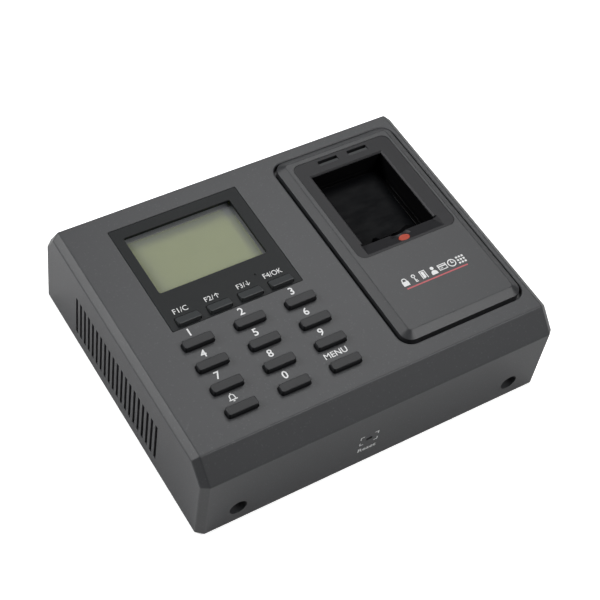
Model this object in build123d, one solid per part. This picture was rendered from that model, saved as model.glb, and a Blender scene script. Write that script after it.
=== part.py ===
"""Wall-mounted fingerprint access terminal, as the separate pieces it is assembled from.

Millimetres. The terminal lies on its back: +Z points out of the wall, +Y up the wall and +X to the
user's right. The origin is the middle of the wall side.
"""

import os

from build123d import *


def grow(limits, by):
    """Moves both ends of a (low, high) pair outwards."""
    return (limits[0] - by, limits[1] + by)


def around(centre, size):
    """The (low, high) pair of a size centred on a point."""
    return (centre - size / 2, centre + size / 2)


# ---- Overall sizes
WIDTH = 180.0
HEIGHT = 147.0
FACE_Z = 48.0  # front face above the wall
WALL = 2.5
SEAM_Z = 1.3  # underside of the front housing's walls

# ---- Fits
PLAY = 0.25  # between pieces that are assembled and stay put
TOUCH = 0.1  # between faces that are taped, glued or screwed together
SLIDE = 0.08  # radial play of a sliding pin

# ---- Front housing form
FRONT_BAND_RUN = 10.0
FRONT_BAND_DROP = 9.7
BACK_BAND_RUN = 7.0
BACK_BAND_DROP = 12.0
END_BEVEL_RUN = 3.2
END_BEVEL_DROP = 2.7
EDGE_ROUND = 1.2
POCKET_ROUND = 0.8

# ---- Number keys
KEY_COLUMNS = 3
KEY_NAMES = ("1", "2", "3", "4", "5", "6", "7", "8", "9", "bell", "0", "menu")
KEY_FIRST_X = 29.65 - WIDTH / 2
KEY_FIRST_Y = -13.8
KEY_PITCH_X = 25.4
KEY_PITCH_Y = 12.4
KEY_LENGTH = 14.2
KEY_WIDTH = 4.3
KEY_CORNER = 0.9
KEY_PROUD = 2.5
KEY_GAP = 0.4
KEY_TRAVEL = 1.2
KEY_FLANGE = 1.0  # how far the retaining flange stands out of the cap
KEY_FLANGE_THICK = 1.0
KEY_STEM_R = 1.8
KEY_RIM_ROUND = 0.35
FLANGE_PLAY = 0.2  # under the face, with the key at rest
DOME_PLAY = 0.4
DOME_WALL = 0.8

# ---- Function keys
FKEY_COUNT = 4
FKEY_FIRST_X = 32.1 - WIDTH / 2
FKEY_PITCH = 15.4
FKEY_Y = -0.6
FKEY_LENGTH = 10.8
FKEY_WIDTH = 4.4
FKEY_CORNER = 0.7
FKEY_PROUD_BACK = 0.3
FKEY_PROUD_FRONT = 1.9
FKEY_CREST = 0.3  # flat strip along the front of the wedge

# ---- Display
PANEL_X = (22.9 - WIDTH / 2, 87.5 - WIDTH / 2)
PANEL_Y = (-4.1, 56.7)
PANEL_THICK = 1.6
PANEL_SUNK = 0.12  # panel face below the housing face
SCREEN_X = (27.5 - WIDTH / 2, 81.5 - WIDTH / 2)
SCREEN_Y = (16.5, 51.0)
SCREEN_CORNER = 1.0
PANEL_CORNER = 0.5
SCREEN_BACK_STEP = 0.8  # how much wider the housing's opening is than the panel's
DIMPLE_X = 70.1 - WIDTH / 2
DIMPLE_Y = 7.8
DIMPLE_R = 0.45
DIMPLE_DEEP = 0.4
LENS_THICK = 1.0
LENS_LAP = 3.0  # how far the window reaches past the opening
LCD_GLASS_Z = FACE_Z - 6.0  # viewing surface of the liquid crystal cell
LCD_GLASS_THICK = 1.8
BACKLIGHT_THICK = 2.4
LCD_FRAME_THICK = 0.5
LCD_LAP = 2.6  # how far the cell reaches past the visible screen
LCD_FRAME_LAP = 0.6  # gap between the frame's window and the visible screen
LCD_BOARD_LAP = (6.0, 4.6)  # how far the display board reaches past the cell, in x and y
LCD_POST_IN = 2.4
PCB_THICK = 1.6

# ---- Keypad electronics
KEYPAD_BOARD_TOP = FACE_Z - 8.0
KEYPAD_BOARD_X = (14.0 - WIDTH / 2, 96.0 - WIDTH / 2)
KEYPAD_BOARD_Y = (-60.0, 6.0)
MAT_THICK = 1.0
MAT_X = (21.0 - WIDTH / 2, 89.6 - WIDTH / 2)
MAT_Y = (-56.0, 4.6)
MAT_CORNER = 2.0
DOME_TOP = KEYPAD_BOARD_TOP + 2.8
KEYPAD_POST_X = grow(KEYPAD_BOARD_X, -3.4)
KEYPAD_POST_Y = (-45.0, -20.0)

# ---- Raised sensor panel
POCKET_X = (WIDTH / 2 - 71.7, WIDTH / 2 - 5.5)
POCKET_Y = (-55.4, 60.6)
POCKET_CORNER = 6.5
POCKET_DEEP = 3.2
LEDGE_THICK = 2.2
LEDGE_WIDE = 4.2
BEZEL_GAP = 1.2
BEZEL_PROUD = 3.4
BEZEL_WALL = 1.0  # upright edge above the face, below the chamfer
BEZEL_CHAMFER = 3.8
BEZEL_THICK = 2.6
BEZEL_ROUND = 0.9
BEZEL_SKIRT = 0.6  # how far the upright walls' thickness runs up before the roof starts
INSERT_X = (WIDTH / 2 - 64.6, WIDTH / 2 - 11.8)
INSERT_Y = (-8.1, 53.2)
INSERT_CORNER = 4.0
INSERT_SUNK = 0.15
INSERT_THICK = 2.2
WELL_X = (WIDTH / 2 - 58.5, WIDTH / 2 - 19.8)
WELL_Y = (-0.2, 44.4)
WELL_TOP_BEVEL = 0.7
WELL_RIM = 1.1  # thickness of the insert's edge over the liner
WELL_WALL = 1.6
WELL_FLOOR_Z = FACE_Z - 10.0
LIP_Y = -6.8  # where the finger lip starts down
LIP_DROP = 2.2
LIP_SIDE = 1.6  # how much wider the lip is at its top
LIP_BLOCK_SIDE = 3.0
LIP_BLOCK_DEEP = 2.6
TAB_DEEP = 1.6  # retaining tab under the insert's back edge
TAB_WIDE = 5.0

# ---- Indicator windows above the well
INDICATOR_Y = 50.0
INDICATOR_X = (WIDTH / 2 - 46.0, WIDTH / 2 - 29.8)
INDICATOR_LENGTH = 10.6
INDICATOR_WIDTH = 3.0
INDICATOR_CORNER = 0.5
INDICATOR_LENS_SUNK = 0.35
INDICATOR_LENS_WIDTH = 1.4  # the lens fills only the front of its slot
INDICATOR_LENS_DEEP = 2.0  # below the insert's plate

# ---- Finger light and finger guide
SPOT_Y = -4.9
SPOT_LENGTH = 5.8
SPOT_WIDTH = 3.6
SPOT_PROUD = 0.25
SPOT_DEEP = 3.4  # below the insert's plate
GUIDE_HALF = 9.4
GUIDE_REACH = 6.5
GUIDE_TOP_Z = FACE_Z + 0.2
GUIDE_CREST = 1.6
GUIDE_FALL = 6.0
LIP_CRADLE_R = 7.1
LIP_CRADLE_REACH = 2.6
CRADLE_R = 10.5
CRADLE_LIFT = 5.6
CRADLE_FALL = 3.6

# ---- Optical unit
LINER_FLOOR = 1.0  # thickness of the liner's floor round the prism
PRISM_X = grow(WELL_X, -3.0)
PRISM_Y = (5.4, 42.6)
PRISM_TOP_Z = WELL_FLOOR_Z + 2.6
PRISM_TILT = 1.4  # how much lower the prism's front edge is
PRISM_TALL = 5.6
PRISM_BACK_FACE = 3.6
PRISM_HEEL = 8.0
SURROUND_WIDE = 1.6
SURROUND_TALL = 1.8
MODULE_FLOOR_Z = WELL_FLOOR_Z - 11.0
CHASSIS_WALL = 1.8
CHASSIS_TALL = 17.0
CHASSIS_FLOOR = 1.6
CAMERA_R = 4.0
CAMERA_TALL = 5.0
CAMERA_IN = 10.0  # from the prism's front edge
MODULE_SCREW_R = 0.9
MODULE_SCREW_LONG = 5.5
MODULE_SCREW_HEAD_R = 1.6
MODULE_SCREW_HEAD = 1.0
MODULE_SCREW_IN = (1.7, 8.0)  # in from the chassis's sides and ends

# ---- Rear cover and wall plate
RIM_INSET = 0.5
RIM_WIDE = 6.0
RIM_THICK = 1.0
COVER_FLOOR_Z = 2.0
COVER_FLOOR_TOP = 4.2
COVER_WALL_TOP = 5.2
COVER_WALL_THICK = 1.5
PLATE_THICK = 1.5
PLATE_X = WIDTH / 2 - 14.0  # half width of the wall plate
PLATE_BACK_Y = HEIGHT / 2 - 17.5
FLANGE_Y = 10.5 - HEIGHT / 2
FLANGE_TALL = 17.0
FLANGE_TAB = 9.0
PLATE_HOLE_R = 2.6
PLATE_HOLE_X = 60.0
PLATE_HOLE_Y = 42.0
CABLE_X = 24.0  # half size of the cable opening in the rear cover
CABLE_Y = (-10.0, 30.0)
CABLE_CORNER = 2.0
PLATE_CABLE_STEP = 2.0  # how much larger the plate's opening is
HOOK_X = 45.0
HOOK_WIDE = 8.0
HOOK_TALL = 6.6
BOSS_X = WIDTH / 2 - 8.5
BOSS_Y = HEIGHT / 2 - 11.0
BOSS_R = 4.0
BOSS_PILOT_TOP = 20.0
COVER_SCREW_R = 1.5
COVER_SCREW_HEAD_R = 2.7
COVER_SCREW_HEAD = 1.5
COVER_SCREW_LONG = 14.0

# ---- Locking screws through the bottom wall
LOCK_X = WIDTH / 2 - 18.8
LOCK_Z = 11.0
LOCK_HOLE_R = 4.2
LOCK_TUBE_R = 5.6
LOCK_TUBE_DEEP = 7.0
LOCK_SEAT = 1.2
LOCK_SCREW_R = 1.9
LOCK_HEAD_R = 3.3
LOCK_HEAD = 2.4
LOCK_LONG = 8.0

# ---- Reset switch behind the pinhole
RESET_X = 83.3 - WIDTH / 2
RESET_Z = 19.0
RESET_SLOT_LENGTH = 3.4
RESET_SLOT_WIDTH = 1.9
RESET_BUTTON_R = 1.5
RESET_FACE_Y = 7.5 - HEIGHT / 2
RESET_TRAVEL = 0.3
RESET_BODY = 6.0
RESET_BODY_DEEP = 4.0
RESET_BUTTON_OUT = 3.6  # the cap's length outside the switch's body
RESET_BORE = 2.4
TONGUE_WIDE = 14.0

# ---- Speaker and its slots in the left wall
SLOT_COUNT = 20
SLOT_PITCH = 3.93
SLOT_MIDDLE_Y = 3.15
SLOT_WIDE = 1.9
SLOT_Z = (7.8, 32.0)
TIE_Y = (-22.0, -12.6)
TIE_Z = (20.9, 22.1)
TIE_SUNK = 1.0
SPEAKER_Y = 3.0
SPEAKER_Z = 20.0
SPEAKER_R = 13.0
SPEAKER_DEEP = 7.0
SPEAKER_FACE_X = 6.5 - WIDTH / 2
SPEAKER_RIM = 1.2
SPEAKER_BOWL = 2.5
CONE_BACK = 2.4
CONE_THICK = 1.0
GASKET_WIDE = 1.6
GASKET_GAP = 0.8  # between the wall and the foam ring

# ---- Main board
MAIN_BOARD_Z = 22.0
MAIN_BOARD_X = WIDTH / 2 - 20.0
MAIN_BOARD_Y = (23.5 - HEIGHT / 2, HEIGHT / 2 - 15.5)
MAIN_POST_X = MAIN_BOARD_X - 4.0
MAIN_POST_Y = grow(MAIN_BOARD_Y, -4.0)
POST_R = 2.6
BOARD_SCREW_R = 1.25
BOARD_SCREW_HEAD_R = 2.3
BOARD_SCREW_HEAD = 1.5
BOARD_SCREW_LONG = 6.0
POST_PILOT_DEEP = 6.0

# ---- Parts on the main board
PROCESSOR_AT = (-40.0, 20.0)
PROCESSOR_SIDE = 22.0
PROCESSOR_TALL = 1.6
MEMORY_X = (-52.0, -36.0)
MEMORY_Y = -12.0
MEMORY_SIZE = (11.0, 18.4)
MEMORY_TALL = 1.1
RELAY_AT = (-50.0, -20.0)
RELAY_SIZE = (15.4, 19.0)
RELAY_TALL = 15.2
BATTERY_AT = (-45.0, 30.0)
BATTERY_R = 10.0
BATTERY_TALL = 3.4
CAPACITOR_X = (-24.0, -13.0)
CAPACITOR_Y = -36.0
CAPACITOR_R = 4.0
CAPACITOR_TALL = 12.0
TERMINALS = {"power_terminals": (13.0, 5), "lock_terminals": (25.0, 8)}  # middle y and ways
TERMINAL_X = 4.5
TERMINAL_PITCH = 3.5
TERMINAL_END = 0.6
TERMINAL_WIDE = 8.4
TERMINAL_LOW_Z = 10.0
WIRE_ENTRY = (2.5, 2.6)
WIRE_ENTRY_DEEP = 7.0
WIRE_ENTRY_OFF = -1.4
CLAMP_SCREW_R = 1.2
CLAMP_SCREW_DEEP = 4.0
CLAMP_SCREW_OFF = 2.4
SOCKET_AT = (-1.0, -0.6)
SOCKET_SIZE = (16.4, 14.0)
SOCKET_LOW_Z = 8.0
PORT_SIZE = (11.8, 8.4)
PORT_TOP_Z = 19.0

# ---- Tamper switch
TAMPER_X = 45.0
TAMPER_Y = -30.0
TAMPER_BODY = 7.0
TAMPER_PIN_R = 1.6
TAMPER_TRAVEL = 0.8
TAMPER_LOW_Z = 12.0
TAMPER_BORE = 5.0

# ---- Flat cables: x, width, y, lower-end run
RIBBON_THICK = 0.3
DISPLAY_RIBBON = (-35.0, 20.0, 7.2, 9.0)
KEYPAD_RIBBON = (-20.0, 14.0, -30.0, 6.0)
SENSOR_RIBBON = (sum(WELL_X) / 2, 12.0, -10.0, 8.0)

NODES = {}
BOARD_SCREWS = []


def slab(x, y, z, radius=0.0):
    """A block between three (low, high) pairs, with its upright edges rounded."""
    wide, deep = x[1] - x[0], y[1] - y[0]
    outline = RectangleRounded(wide, deep, radius) if radius else Rectangle(wide, deep)
    return Pos((x[0] + x[1]) / 2, (y[0] + y[1]) / 2, z[0]) * extrude(outline, z[1] - z[0])


def rod(start, end, radius):
    """A round bar from one point to another."""
    path = Vector(*end) - Vector(*start)
    return Plane(origin=start, z_dir=path) * extrude(Circle(radius), path.length)


def tapered(x, y, z, radius, shrink):
    """A slab whose outline shrinks evenly towards its top."""
    wide, deep = x[1] - x[0], y[1] - y[0]
    place = Pos((x[0] + x[1]) / 2, (y[0] + y[1]) / 2, 0)
    low = place * Pos(0, 0, z[0]) * RectangleRounded(wide, deep, radius)
    small = RectangleRounded(wide - 2 * shrink, deep - 2 * shrink, radius - shrink)
    high = place * Pos(0, 0, z[1]) * small
    return loft([low, high], ruled=True)


def bar(outline, x, wide):
    """A bar along X whose cross-section in Y and Z is an outline."""
    face = make_face(Polyline(*outline, close=True))
    return extrude(Plane.YZ.offset(x) * face, wide / 2, both=True)


def block_at(x, y, z):
    """A plain rectangle across X and Y, at a height, for a loft."""
    return Pos(sum(x) / 2, sum(y) / 2, z) * Rectangle(x[1] - x[0], y[1] - y[0])


def screw(head_at, direction, head_r, head_long, shank_r, shank_long):
    """A cross-recessed pan-head screw; head_at is the seat under its head."""
    along = Vector(*direction).normalized()
    seat = Vector(*head_at)
    top = seat - along * head_long
    head = rod(tuple(top), tuple(seat), head_r)
    shank = rod(tuple(seat - along * 0.01), tuple(seat + along * shank_long), shank_r)
    plane = Plane(origin=top, z_dir=along)
    recess = Rectangle(head_r * 1.15, head_r * 0.3) + Rectangle(head_r * 0.3, head_r * 1.15)
    return head + shank - plane * extrude(recess, head_long * 0.6)


def node(name, shape):
    """Keeps a finished piece under its name."""
    NODES[name] = shape


# ---- The housing's outer form, which its inner faces repeat ----
def housing_block(inset, low_z):
    """The housing's outer form moved in by inset, standing on low_z."""
    below = low_z - inset - END_BEVEL_DROP - 1
    front, back = -HEIGHT / 2, HEIGHT / 2
    outline = [
        (front, below),
        (front, FACE_Z - FRONT_BAND_DROP),
        (front + FRONT_BAND_RUN, FACE_Z),
        (back - BACK_BAND_RUN, FACE_Z),
        (back, FACE_Z - BACK_BAND_DROP),
        (back, below),
    ]
    face = make_face(Polyline(*outline, close=True))
    if inset:
        face = offset(face, -inset, kind=Kind.INTERSECTION)
    end_face = offset(face, -END_BEVEL_DROP, kind=Kind.INTERSECTION)
    half = WIDTH / 2 - inset
    straight = half - END_BEVEL_RUN
    block = extrude(Plane.YZ * face, straight, both=True)
    for side in (-1, 1):
        start = Plane.YZ.offset(side * straight) * face
        end = Plane.YZ.offset(side * half) * end_face
        block += loft([start, end], ruled=True)
    trim = slab(around(0, 2 * WIDTH), around(0, 2 * HEIGHT), (low_z, FACE_Z + 1))
    return block & trim


# ---- Places shared by several pieces ----
KEY_PLACES = {
    f"key_{name}": (
        KEY_FIRST_X + KEY_PITCH_X * (i % KEY_COLUMNS),
        KEY_FIRST_Y - KEY_PITCH_Y * (i // KEY_COLUMNS),
    )
    for i, name in enumerate(KEY_NAMES)
}
FKEY_PLACES = {f"key_f{i + 1}": (FKEY_FIRST_X + FKEY_PITCH * i, FKEY_Y) for i in range(FKEY_COUNT)}
ALL_KEYS = {**KEY_PLACES, **FKEY_PLACES}
INNER_TOP = FACE_Z - WALL
PANEL_FLOOR = FACE_Z - PANEL_SUNK - PANEL_THICK
POCKET_FLOOR = FACE_Z - POCKET_DEEP
BEZEL_X = grow(POCKET_X, -BEZEL_GAP)
BEZEL_Y = grow(POCKET_Y, -BEZEL_GAP)
BEZEL_CORNER = POCKET_CORNER - BEZEL_GAP
BEZEL_TOP = FACE_Z + BEZEL_PROUD
MODULE_X = grow(POCKET_X, -LEDGE_WIDE)
MODULE_Y = grow(POCKET_Y, -LEDGE_WIDE)
INSERT_TOP = BEZEL_TOP - INSERT_SUNK
WELL_CENTRE_X = sum(WELL_X) / 2
LENS_TOP = INNER_TOP - TOUCH
CELL_X = grow(SCREEN_X, LCD_LAP)
CELL_Y = grow(SCREEN_Y, LCD_LAP)
LCD_BOARD_TOP = LCD_GLASS_Z - LCD_GLASS_THICK - BACKLIGHT_THICK - 3 * TOUCH
LCD_BOARD_X = grow(CELL_X, LCD_BOARD_LAP[0])
LCD_BOARD_Y = grow(CELL_Y, LCD_BOARD_LAP[1])
LCD_POST_X = grow(LCD_BOARD_X, -LCD_POST_IN)
LCD_POST_Y = grow(LCD_BOARD_Y, -LCD_POST_IN)
SLOT_YS = [SLOT_MIDDLE_Y + SLOT_PITCH * (i - (SLOT_COUNT - 1) / 2) for i in range(SLOT_COUNT)]
MAIN_BOARD_TOP = MAIN_BOARD_Z + PCB_THICK
STEM_END = KEYPAD_BOARD_TOP + KEY_TRAVEL + TOUCH
COVER_SCREW_SEAT = COVER_FLOOR_Z + 0.4
PLATE_LOW = INSERT_TOP - INSERT_THICK
CHASSIS_X = grow(WELL_X, WELL_WALL + CHASSIS_WALL)
CHASSIS_Y = grow(WELL_Y, WELL_WALL + CHASSIS_WALL)


def sunk_key_hole(place, length, width, corner):
    """The opening for one key cap, right through the face."""
    x = around(place[0], length + 2 * KEY_GAP)
    y = around(place[1], width + 2 * KEY_GAP)
    return slab(x, y, (INNER_TOP - 1, FACE_Z + 1), corner + KEY_GAP)


# ---- Front housing ----
def make_front_housing():
    """The deep front shell with its openings, bosses and posts."""
    outer = housing_block(0, SEAM_Z)
    rims = [e for e in outer.edges() if e.bounding_box().max.Z > SEAM_Z + 0.1]
    outer = fillet(rims, EDGE_ROUND)
    shell = outer - housing_block(WALL, SEAM_Z - 1)
    ledge = slab(
        grow(POCKET_X, 2.0),
        grow(POCKET_Y, 2.0),
        (POCKET_FLOOR - LEDGE_THICK, INNER_TOP + 1),
        POCKET_CORNER + 2,
    )
    posts = [rod((x, y, COVER_FLOOR_TOP + TOUCH), (x, y, FACE_Z), BOSS_R)
             for x in (-BOSS_X, BOSS_X) for y in (-BOSS_Y, BOSS_Y)]
    posts += [rod((x, y, KEYPAD_BOARD_TOP + TOUCH), (x, y, INNER_TOP + 0.5), POST_R)
              for x in KEYPAD_POST_X for y in KEYPAD_POST_Y]
    posts += [rod((x, y, LCD_BOARD_TOP + TOUCH), (x, y, INNER_TOP + 0.5), POST_R)
              for x in LCD_POST_X for y in LCD_POST_Y]
    front_in = -HEIGHT / 2 + WALL / 2
    posts += [rod((x, front_in, LOCK_Z), (x, front_in + LOCK_TUBE_DEEP, LOCK_Z), LOCK_TUBE_R)
              for x in (-LOCK_X, LOCK_X)]
    inside = housing_block(WALL / 2, SEAM_Z)
    for piece in [ledge, *posts]:
        shell += piece & inside
    # sensor pocket and the opening under it
    shell -= slab(POCKET_X, POCKET_Y, (POCKET_FLOOR, FACE_Z + 1), POCKET_CORNER)
    pocket_rim = [e for e in shell.edges().group_by(Axis.Z)[-1] if is_pocket_rim(e)]
    shell = fillet(pocket_rim, POCKET_ROUND)
    shell -= slab(MODULE_X, MODULE_Y, (INNER_TOP - 5, FACE_Z), POCKET_CORNER - 2)
    # display panel seat and screen opening
    seat_x, seat_y = grow(PANEL_X, PLAY), grow(PANEL_Y, PLAY)
    shell -= slab(seat_x, seat_y, (PANEL_FLOOR, FACE_Z + 1), PANEL_CORNER)
    opening_x, opening_y = grow(SCREEN_X, SCREEN_BACK_STEP), grow(SCREEN_Y, SCREEN_BACK_STEP)
    shell -= slab(opening_x, opening_y, (INNER_TOP - 1, FACE_Z), SCREEN_CORNER)
    for place in KEY_PLACES.values():
        shell -= sunk_key_hole(place, KEY_LENGTH, KEY_WIDTH, KEY_CORNER)
    for place in FKEY_PLACES.values():
        shell -= sunk_key_hole(place, FKEY_LENGTH, FKEY_WIDTH, FKEY_CORNER)
    # screw pilots up the corner bosses and the board posts
    for x in (-BOSS_X, BOSS_X):
        for y in (-BOSS_Y, BOSS_Y):
            shell -= rod((x, y, 0), (x, y, BOSS_PILOT_TOP), COVER_SCREW_R)
    for xs, ys, low in (
        (KEYPAD_POST_X, KEYPAD_POST_Y, KEYPAD_BOARD_TOP),
        (LCD_POST_X, LCD_POST_Y, LCD_BOARD_TOP),
    ):
        top = min(low + POST_PILOT_DEEP, FACE_Z - WALL / 2)
        for x in xs:
            for y in ys:
                shell -= rod((x, y, low), (x, y, top), BOARD_SCREW_R)
    # bottom wall: locking screws and reset pinhole
    wall_out = -HEIGHT / 2 - 1
    seat_y = front_in + LOCK_TUBE_DEEP - LOCK_SEAT
    for x in (-LOCK_X, LOCK_X):
        shell -= rod((x, wall_out, LOCK_Z), (x, seat_y, LOCK_Z), LOCK_HOLE_R)
        shell -= rod((x, seat_y - 1, LOCK_Z), (x, seat_y + 5, LOCK_Z), LOCK_SCREW_R + PLAY)
    pinhole = Plane.XZ * Pos(RESET_X, RESET_Z) * SlotOverall(RESET_SLOT_LENGTH, RESET_SLOT_WIDTH)
    shell -= Pos(0, -HEIGHT / 2 + WALL + 1, 0) * extrude(pinhole, WALL + 2)
    # speaker slots in the left wall, with the moulded tie behind three of them
    for y in SLOT_YS:
        shell -= slab((-WIDTH / 2 - 1, -WIDTH / 2 + WALL + 1), around(y, SLOT_WIDE), SLOT_Z)
    shell += slab((TIE_SUNK - WIDTH / 2, WALL + 0.6 - WIDTH / 2), TIE_Y, TIE_Z)
    node("front_housing", shell)


def is_pocket_rim(edge):
    """Whether an edge of the front face belongs to the sensor pocket's rim."""
    box = edge.bounding_box()
    inside_x = box.min.X > POCKET_X[0] - 0.1 and box.max.X < POCKET_X[1] + 0.1
    return inside_x and box.min.Y > POCKET_Y[0] - 0.1 and box.max.Y < POCKET_Y[1] + 0.1


# ---- Display ----
def make_display():
    """The dark display panel, its window and the display module behind it."""
    panel = slab(PANEL_X, PANEL_Y, (PANEL_FLOOR, FACE_Z - PANEL_SUNK), PANEL_CORNER)
    panel -= slab(SCREEN_X, SCREEN_Y, (PANEL_FLOOR - 1, FACE_Z), SCREEN_CORNER)
    for place in FKEY_PLACES.values():
        panel -= sunk_key_hole(place, FKEY_LENGTH, FKEY_WIDTH, FKEY_CORNER)
    dimple_z = FACE_Z - PANEL_SUNK - DIMPLE_DEEP
    panel -= rod((DIMPLE_X, DIMPLE_Y, dimple_z), (DIMPLE_X, DIMPLE_Y, FACE_Z), DIMPLE_R)
    node("display_panel", Pos(0, 0, TOUCH / 2) * panel)
    window_z = (LENS_TOP - LENS_THICK, LENS_TOP)
    window_x, window_y = grow(SCREEN_X, LENS_LAP), grow(SCREEN_Y, LENS_LAP)
    node("display_window", slab(window_x, window_y, window_z, SCREEN_CORNER))
    glass_z = (LCD_GLASS_Z - LCD_GLASS_THICK, LCD_GLASS_Z)
    node("lcd_cell", slab(CELL_X, CELL_Y, glass_z))
    light_top = glass_z[0] - TOUCH
    light_z = (light_top - BACKLIGHT_THICK, light_top)
    node("lcd_backlight", slab(CELL_X, CELL_Y, light_z, SCREEN_CORNER))
    frame_low = LCD_BOARD_TOP + TOUCH
    frame_top = LCD_GLASS_Z + TOUCH + LCD_FRAME_THICK
    outside = 2 * TOUCH + LCD_FRAME_THICK
    frame = slab(grow(CELL_X, outside), grow(CELL_Y, outside), (frame_low, frame_top), SCREEN_CORNER)
    frame -= slab(grow(CELL_X, 2 * TOUCH), grow(CELL_Y, 2 * TOUCH), (0, LCD_GLASS_Z + TOUCH))
    view_x, view_y = grow(SCREEN_X, LCD_FRAME_LAP), grow(SCREEN_Y, LCD_FRAME_LAP)
    frame -= slab(view_x, view_y, (0, FACE_Z), SCREEN_CORNER)
    node("lcd_frame", frame)
    board_z = (LCD_BOARD_TOP - PCB_THICK, LCD_BOARD_TOP)
    board = slab(LCD_BOARD_X, LCD_BOARD_Y, board_z)
    screws = []
    for x in LCD_POST_X:
        for y in LCD_POST_Y:
            board -= rod((x, y, 0), (x, y, FACE_Z), BOARD_SCREW_R + PLAY)
            screws.append(board_screw((x, y, board_z[0]), (0, 0, 1)))
    node("lcd_board", board)
    BOARD_SCREWS.extend(screws)


def board_screw(seat, direction):
    """A small screw that holds a board to its post."""
    return screw(seat, direction, BOARD_SCREW_HEAD_R, BOARD_SCREW_HEAD,
                 BOARD_SCREW_R - TOUCH / 2, BOARD_SCREW_LONG - 2)


# ---- Keys ----
def make_key(place, length, width, corner, crown):
    """One key: its cap, the flange that keeps it in and the stem that presses the contact."""
    x, y = place
    flange_top = INNER_TOP - FLANGE_PLAY
    cap = slab(around(x, length), around(y, width), (flange_top, FACE_Z + crown), corner)
    flange_z = (flange_top - KEY_FLANGE_THICK, flange_top)
    flange_x, flange_y = around(x, length + 2 * KEY_FLANGE), around(y, width + 2 * KEY_FLANGE)
    flange = slab(flange_x, flange_y, flange_z, corner)
    stem = rod((x, y, STEM_END), (x, y, flange_z[0]), KEY_STEM_R)
    return cap, flange + stem


def make_keys():
    """Twelve flat number keys and four wedge-shaped function keys."""
    for name, place in KEY_PLACES.items():
        cap, base = make_key(place, KEY_LENGTH, KEY_WIDTH, KEY_CORNER, KEY_PROUD)
        top_rim = cap.edges().group_by(Axis.Z)[-1]
        node(name, fillet(top_rim, KEY_RIM_ROUND) + base)
    for name, place in FKEY_PLACES.items():
        cap, base = make_key(place, FKEY_LENGTH, FKEY_WIDTH, FKEY_CORNER, FKEY_PROUD_FRONT)
        x, y = place
        front, back = y - FKEY_WIDTH / 2 + FKEY_CREST, y + FKEY_WIDTH / 2
        wedge = [
            (front, FACE_Z + FKEY_PROUD_FRONT),
            (back + 1, FACE_Z + FKEY_PROUD_BACK - 0.4),
            (back + 1, FACE_Z + FKEY_PROUD_FRONT + 1),
            (front, FACE_Z + FKEY_PROUD_FRONT + 1),
        ]
        node(name, cap - bar(wedge, x, 2 * FKEY_LENGTH) + base)


def make_keypad():
    """The silicone mat whose domes return the keys, and the contact board under it."""
    mat = slab(MAT_X, MAT_Y, (KEYPAD_BOARD_TOP + TOUCH, KEYPAD_BOARD_TOP + MAT_THICK), MAT_CORNER)
    bore = KEY_STEM_R + DOME_PLAY
    for x, y in ALL_KEYS.values():
        mat += rod((x, y, KEYPAD_BOARD_TOP + MAT_THICK / 2), (x, y, DOME_TOP), bore + DOME_WALL)
    for x, y in ALL_KEYS.values():
        mat -= rod((x, y, 0), (x, y, FACE_Z), bore)
    node("keypad_mat", mat)
    board_z = (KEYPAD_BOARD_TOP - PCB_THICK, KEYPAD_BOARD_TOP)
    board = slab(KEYPAD_BOARD_X, KEYPAD_BOARD_Y, board_z)
    screws = []
    for x in KEYPAD_POST_X:
        for y in KEYPAD_POST_Y:
            board -= rod((x, y, 0), (x, y, FACE_Z), BOARD_SCREW_R + PLAY)
            screws.append(board_screw((x, y, board_z[0]), (0, 0, 1)))
    node("keypad_board", board)
    BOARD_SCREWS.extend(screws)


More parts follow.
